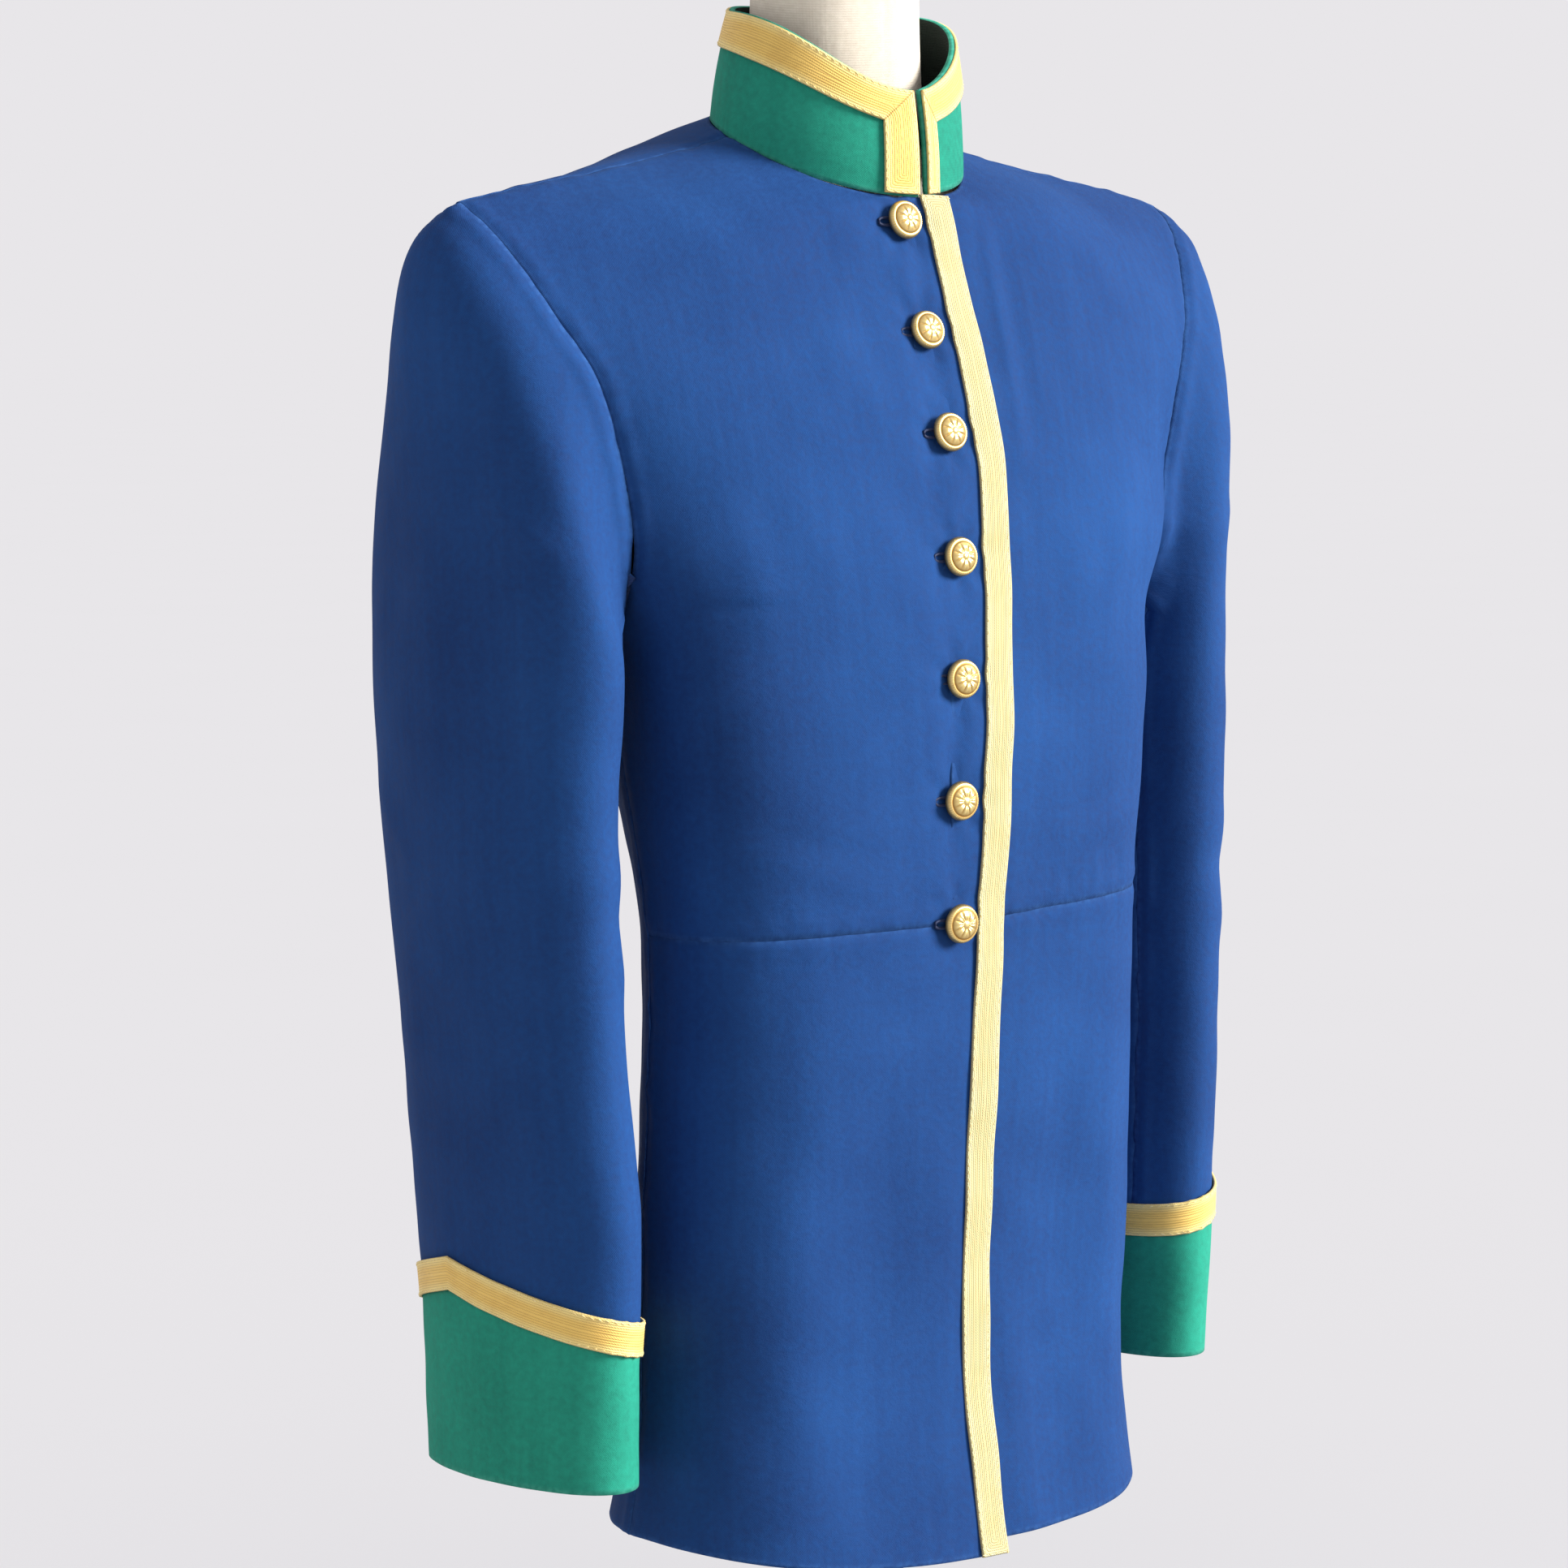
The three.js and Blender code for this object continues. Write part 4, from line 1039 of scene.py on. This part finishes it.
def tube_faces(rings, sides):
    """The faces of a closed tube whose points run ring by ring."""
    faces = []
    for low in range(0, (rings - 1) * sides, sides):
        for side in range(sides):
            after = (side + 1) % sides
            faces.append((low + side, low + after, low + sides + after, low + sides + side))
    faces.append(tuple(reversed(range(sides))))
    faces.append(tuple(range((rings - 1) * sides, rings * sides)))
    return faces


def mesh_of(name, points, faces):
    """A mesh from points in metres."""
    mesh = bpy.data.meshes.new(name)
    mesh.from_pydata([tuple(point) for point in points], [], faces)
    return mesh


def stitch_points(along, aside, up, centre):
    """A short thread: a closed spindle of rings."""
    points = []
    for ring in range(STITCH_RINGS):
        share = ring / (STITCH_RINGS - 1)
        swell = math.sqrt(math.sin(math.pi * (STITCH_ENDS[0] + STITCH_ENDS[1] * share)))
        middle = centre + along * STITCH["length"] * MM * (share - 0.5)
        for side in range(STITCH_SIDES):
            angle = 2 * math.pi * side / STITCH_SIDES
            radial = aside * math.cos(angle) + up * math.sin(angle)
            points.append(middle + radial * STITCH["radius"] * MM * swell)
    return points


def sew(braid_node, rims):
    """A row of small stitches just inside the braid's edges."""
    points, faces = [], []
    for rim in rims:
        travelled = 0.0
        for start, end, middle, up in rim:
            way = end - start
            length = np.linalg.norm(way)
            travelled += length / MM
            if travelled < STITCH["spacing"]:
                continue
            travelled = 0.0
            along = way / length
            inward = middle - (start + end) / 2
            inward -= along * (inward @ along)
            inward /= np.linalg.norm(inward)
            slant = along + inward * STITCH["slant"]
            slant /= np.linalg.norm(slant)
            centre = (start + end) / 2 + inward * STITCH["inset"] * MM + up * STITCH["lift"] * MM
            for face in tube_faces(STITCH_RINGS, STITCH_SIDES):
                faces.append(tuple(index + len(points) for index in face))
            points += stitch_points(slant, np.cross(up, slant), up, centre)
    name = braid_node + "_stitches"
    declare_rigid(add_object(name, mesh_of(name, points, faces)), YELLOW_THREAD)


# ---- cuffs and braids
CONCAVE = math.radians(210)  # a braid's inner corner, by the angle that its faces fill there
CONVEX = math.radians(140)  # and its outer ones
BRAIDS = ["front_braid", "collar_braid_right", "collar_braid_left", "cuff_braid_right", "cuff_braid_left"]


def mitre_line(mesh):
    """The line across a braid's corner, from its inner point to the outer one, or None."""
    bm = bmesh.new()
    bm.from_mesh(mesh)
    filled = {v.index: sum(loop.calc_angle() for loop in v.link_loops) for v in bm.verts if v.is_boundary}
    bm.free()
    inner = max(filled, key=filled.get)
    if filled[inner] < CONCAVE:
        return None
    places = coordinates(mesh)
    corners = [vertex for vertex, angle in filled.items() if angle < CONVEX]
    outer = min(corners, key=lambda vertex: np.linalg.norm(places[vertex] - places[inner]))
    return garment(places[inner]), garment(places[outer])


def beside_line(points, ends):
    """Signed millimetres from the line through two ends, as seen from the front."""
    way = (ends[1] - ends[0])[[0, 2]]
    way /= np.linalg.norm(way)
    apart = points[:, [0, 2]] - ends[0][[0, 2]]
    return apart[:, 0] * way[1] - apart[:, 1] * way[0]


for cuff_node in ("cuff_right", "cuff_left"):
    cuff = outer_skin(cuff_node, core_of(cuff_node))
    roll_out(cuff)
    refine(cuff, 3)
    push(cuff, ripples(mark_edge(cuff)))
    thicken(cuff, CLOTH, GREEN, BLUE_BACK)
    declare(cuff, cuff_node)

for braid_node in BRAIDS:
    strip = outer_skin(braid_node, core_of(braid_node), SHARP_CORNER)
    if "cuff" in braid_node:
        roll_out(strip)
    else:
        lay_flat(strip)
    corner_line = mitre_line(strip.data) if "collar" in braid_node else None
    refine(strip, 3)
    places = mark_edge(strip)
    mitred = beside_line(places, corner_line) if corner_line else np.full(len(places), FAR)
    write_attribute(strip.data, "mitre", mitred)
    # painted light: the braid material is chosen by how light falls; the lit front takes the paler copy
    braid_for_light = BRAID
    if braid_node == "front_braid":
        braid_for_light = LIT_FRONT_BRAID
        push(strip, cloth_offset(places, "front_right", front_right_shape, groove=False))
    elif "cuff" in braid_node:
        push(strip, ripples(places))
    else:
        push(strip, ripples(places, COLLAR_RIPPLES))
    rims = sewn_rims(strip.data)
    thicken(strip, BRAID_WALL, braid_for_light, braid_for_light)
    declare(strip, braid_node)
    sew(braid_node, rims)

# ---- the form and its stand
COVER = {"levels": 2, "slack": 0.25, "wavelength": 80.0, "seed": 41}
COVER_SEAM = {"depth": 0.7, "width": 1.6}
COVER_WELD = 1e-6  # metres within which its vertices are one
TURNS = 128
# Each turned piece: radius as a share of its node's, and height as a share, bottom to top.
ROUNDED = [(0.0, 0.0), (0.985, 0.0), (1.0, 0.1), (1.0, 0.62), (0.994, 0.8), (0.978, 0.93), (0.955, 1.0)]
STAND = {
    "neck_cap": (ROUNDED + [(0.9, 0.985), (0.3, 1.0), (0.0, 1.0)], WOOD, "form_cloth"),
    "pole": ([(0.0, 0.0), (1.0, 0.0), (1.0, 1.0), (0.0, 1.0)], IRON, "stand_metal"),
    "base": (ROUNDED + [(0.35, 0.995), (0.2, 1.0), (0.0, 1.0)], IRON, "stand_metal"),
}


def make_cover():
    """The form's linen cover: smooth, a little slack, with a seam down the front, back and sides."""
    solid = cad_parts["form_torso"]
    mesh = solid.data.copy()
    bm = bmesh.new()
    bm.from_mesh(mesh)
    bmesh.ops.remove_doubles(bm, verts=bm.verts, dist=COVER_WELD)
    creases = bm.edges.layers.float.new("crease_edge")
    for edge in bm.edges:
        if len(edge.link_faces) == 2 and edge.calc_face_angle() > SMOOTH_EDGE:
            edge[creases] = 1.0
    bm.to_mesh(mesh)
    bm.free()
    made = add_object("form_cover", mesh)
    made.matrix_world = solid.matrix_world
    refine(made, COVER["levels"])
    places = garment(coordinates(made.data))
    from_seam = np.minimum(np.abs(places[:, 0]), np.abs(places[:, 1]))
    sunk = COVER_SEAM["depth"] * bell(from_seam, COVER_SEAM["width"])
    uneven = ripple(places, COVER["wavelength"], COVER["seed"])
    push(made, COVER["slack"] * (uneven - 1.0) - sunk)
    declare_rigid(made, LINEN, "form_torso")


def make_turned(node, profile, material, slot):
    """A turned piece in its node's place, rounder than the node and never larger."""
    low, high = (np.array(corner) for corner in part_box(node))
    middle = (low + high) / 2
    radius = (high[0] - low[0]) / 2
    bm = bmesh.new()
    chain = [
        bm.verts.new((middle[0] + radius * share, middle[1], low[2] + (high[2] - low[2]) * rise))
        for share, rise in profile
    ]
    edges = [bm.edges.new(pair) for pair in zip(chain, chain[1:])]
    bmesh.ops.spin(
        bm,
        geom=chain + edges,
        cent=(middle[0], middle[1], 0),
        axis=(0, 0, 1),
        angle=2 * math.pi,
        steps=TURNS,
        use_duplicate=False,
    )
    bmesh.ops.remove_doubles(bm, verts=bm.verts, dist=WELD)
    bmesh.ops.recalc_face_normals(bm, faces=bm.faces)
    for edge in bm.edges:
        edge.smooth = edge.calc_face_angle(0.0) < SMOOTH_EDGE
    mesh = bpy.data.meshes.new(node + "_turned")
    bm.to_mesh(mesh)
    bm.free()
    declare_rigid(add_object(node + "_turned", mesh), material, node)


make_cover()
for node_name, details in STAND.items():
    make_turned(node_name, *details)

# ---- buttons and buttonholes
BUTTON = {"radius": 9.8, "edge": 3.2, "height": 7.9, "dome": 2.2, "turns": 96, "rings": 34, "sink": 2.0}
BUTTON_BACK = [(0.26, 0.0), (0.26, 2.2), (0.92, 2.2), (1.0, 2.7)]  # radius as a share, and height
FIRST_RING = 0.2  # how far the face's first ring is inside its edge, in rings
# The relief on the face: where it is as a share of the radius, how wide, how high, and how many.
ROPE = {"at": 0.9, "width": 0.055, "height": 0.34, "twist": 0.2, "count": 44}
GROOVE = {"at": 0.77, "width": 0.04, "height": -0.3}
LEAF = {"at": 0.46, "width": 0.17, "height": 0.62, "count": 8, "power": 0.7}
VEIN = {"at": 0.46, "width": 0.2, "height": -0.16}
BOSS = {"width": 0.15, "height": 0.5}
BACK_SHINE = 0.2  # how clean the gilding is: here, on the bare face, and more by the relief
FACE_SHINE = 0.3
RELIEF_SHINE = 1.3


def raised(share, place):
    return math.exp(-((share - place["at"]) / place["width"]) ** 2)


def button_relief(share, angle):
    """The relief of the button's face, by share of the radius: a roped edge round a rosette."""
    rope = raised(share, ROPE) * (ROPE["height"] + ROPE["twist"] * math.sin(ROPE["count"] * angle))
    petal = abs(math.cos(LEAF["count"] / 2 * angle)) ** LEAF["power"]
    leaf = LEAF["height"] * petal * raised(share, LEAF)
    vein = VEIN["height"] * raised(share, VEIN) * math.cos(LEAF["count"] * 2 * angle)
    boss = BOSS["height"] * math.exp(-((share / BOSS["width"]) ** 4))
    return rope + GROOVE["height"] * raised(share, GROOVE) + leaf + vein + boss


def button_points():
    """The button's points, ring by ring from its back to its middle, and the shine of each."""
    points, shine = [], []
    angles = [2 * math.pi * turn / BUTTON["turns"] for turn in range(BUTTON["turns"])]
    radius = BUTTON["radius"]
    for share, height in BUTTON_BACK:
        points += [(share * radius * math.cos(a), share * radius * math.sin(a), height) for a in angles]
        shine += [BACK_SHINE] * len(angles)
    rise = BUTTON["height"] - BUTTON["edge"] - BOSS["height"]
    for index in range(BUTTON["rings"]):
        share = 1 - (index + FIRST_RING) / BUTTON["rings"]
        bare = BUTTON["edge"] + rise * math.sqrt(1 - share ** BUTTON["dome"])
        for a in angles:
            relief = button_relief(share, a)
            points.append((share * radius * math.cos(a), share * radius * math.sin(a), bare + relief))
            shine.append(min(1.0, max(0.0, FACE_SHINE + relief * RELIEF_SHINE)))
    return points, shine


def make_button(node, middle, facing):
    """A domed gilt button with a generic rosette, seated on the cloth where its node is."""
    points, shine = button_points()
    up = np.array(facing)
    side = np.cross(up, (0.0, 0.0, 1.0))
    side /= np.linalg.norm(side)
    rise = np.cross(side, up)
    reach = (garment(coordinates(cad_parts[node].data)) - middle) @ up
    offset = cloth_offset(np.array([middle]), "front_right", front_right_shape, groove=False)[0]
    foot = middle + up * (reach.min() + max(offset, -BUTTON["sink"]))
    placed = [(foot + side * x + rise * y + up * z + DATUM) * MM for x, y, z in points]
    mesh = mesh_of(node + "_detail", placed, tube_faces(len(points) // BUTTON["turns"], BUTTON["turns"]))
    write_attribute(mesh, "height", shine)
    declare_rigid(add_object(node + "_gilt", mesh), GILT, node)
    return foot, side, rise, up


HOLE = {"length": 9.0, "half_width": 1.9, "start": 5.0, "turns": 120, "sides": 8, "lean": 0.4}
HOLE_SQUARENESS = 0.6  # less than 1 makes the oval's sides straighter
WHIP = {"radius": 0.75, "thin": 0.8, "swell": 0.3, "turns": 2.6}  # the thread round the hole's edge


def make_buttonhole(index, foot, side, rise, up):
    """The worked end of a buttonhole that shows beside its button: a ridge of whipped thread."""
    if side[0] > 0:
        side = -side
    points, faces = [], []
    turns, sides = HOLE["turns"], HOLE["sides"]
    half = HOLE["length"] / 2
    for turn in range(turns):
        angle = 2 * math.pi * turn / turns
        height = math.sin(angle)
        width = HOLE["half_width"] * math.copysign(abs(height) ** HOLE_SQUARENESS, height)
        centre = foot + side * (HOLE["start"] + half + half * math.cos(angle)) + rise * width
        outward = side * math.cos(angle) * HOLE["lean"] + rise * math.copysign(1, height)
        outward /= np.linalg.norm(outward)
        swell = WHIP["swell"] * abs(math.sin(turn * math.pi / WHIP["turns"]))
        radius = WHIP["radius"] * (WHIP["thin"] + swell)
        for k in range(sides):
            around = 2 * math.pi * k / sides
            place = centre + (outward * math.cos(around) + up * math.sin(around)) * radius
            points.append((place + DATUM) * MM)
            low, high = turn * sides, ((turn + 1) % turns) * sides
            after = (k + 1) % sides
            faces.append((low + k, high + k, high + after, low + after))
    name = "buttonhole_%d" % index
    declare_rigid(add_object(name, mesh_of(name, points, faces)), BLUE_THREAD)


for index, (name, middle, facing) in enumerate(BUTTONS, 1):
    make_buttonhole(index, *make_button(name, middle, facing))


# ---- stage and light
SURROUND = linear(232, 230, 233)
FLOOR_SIZE = 60  # metres
FLOOR_GLOW = 0.605  # with its grey this shows the floor as bright as the surround
FLOOR_GREYS = [(0.39, 0.39, 0.39, 1.0), (0.4, 0.4, 0.4, 1.0)]
KEY_STRENGTH = 7.8
KEY_TO = Vector((0.62, -0.66, 0.38))  # towards the key light
KEY_WIDTH = math.radians(24)
KEY_COLOUR = (1.0, 0.985, 0.96)


def make_stage():
    bpy.ops.mesh.primitive_plane_add(size=FLOOR_SIZE, location=(0, 0, 0))
    floor = bpy.context.object
    floor.name = "floor"
    graph = Graph("floor")
    colour = graph.mix(graph.noise(graph.space(), scale=3.0), *FLOOR_GREYS)
    floor.data.materials.append(graph.finish(
        Base_Color=colour,
        Roughness=1.0,
        Specular_IOR_Level=0.0,
        Emission_Color=SURROUND,
        Emission_Strength=FLOOR_GLOW,
    ))
    floor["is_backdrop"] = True
    world = bpy.data.worlds.new("world")
    scene.world = world
    world.use_nodes = True
    background = world.node_tree.nodes["Background"]
    background.inputs[0].default_value = SURROUND
    background.inputs[1].default_value = 1.0


def make_key():
    """A soft key from the wearer's left that falls on the jacket and not on the floor."""
    data = bpy.data.lights.new("key", "SUN")
    data.energy = KEY_STRENGTH
    data.angle = KEY_WIDTH
    data.color = KEY_COLOUR
    light = add_object("key", data)
    light.rotation_euler = (-KEY_TO).to_track_quat("-Z", "Y").to_euler()
    lit = bpy.data.collections.new("lit")
    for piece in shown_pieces():
        lit.objects.link(piece)
    light.light_linking.receiver_collection = lit


make_stage()
make_key()
scene.view_settings.view_transform = "Standard"
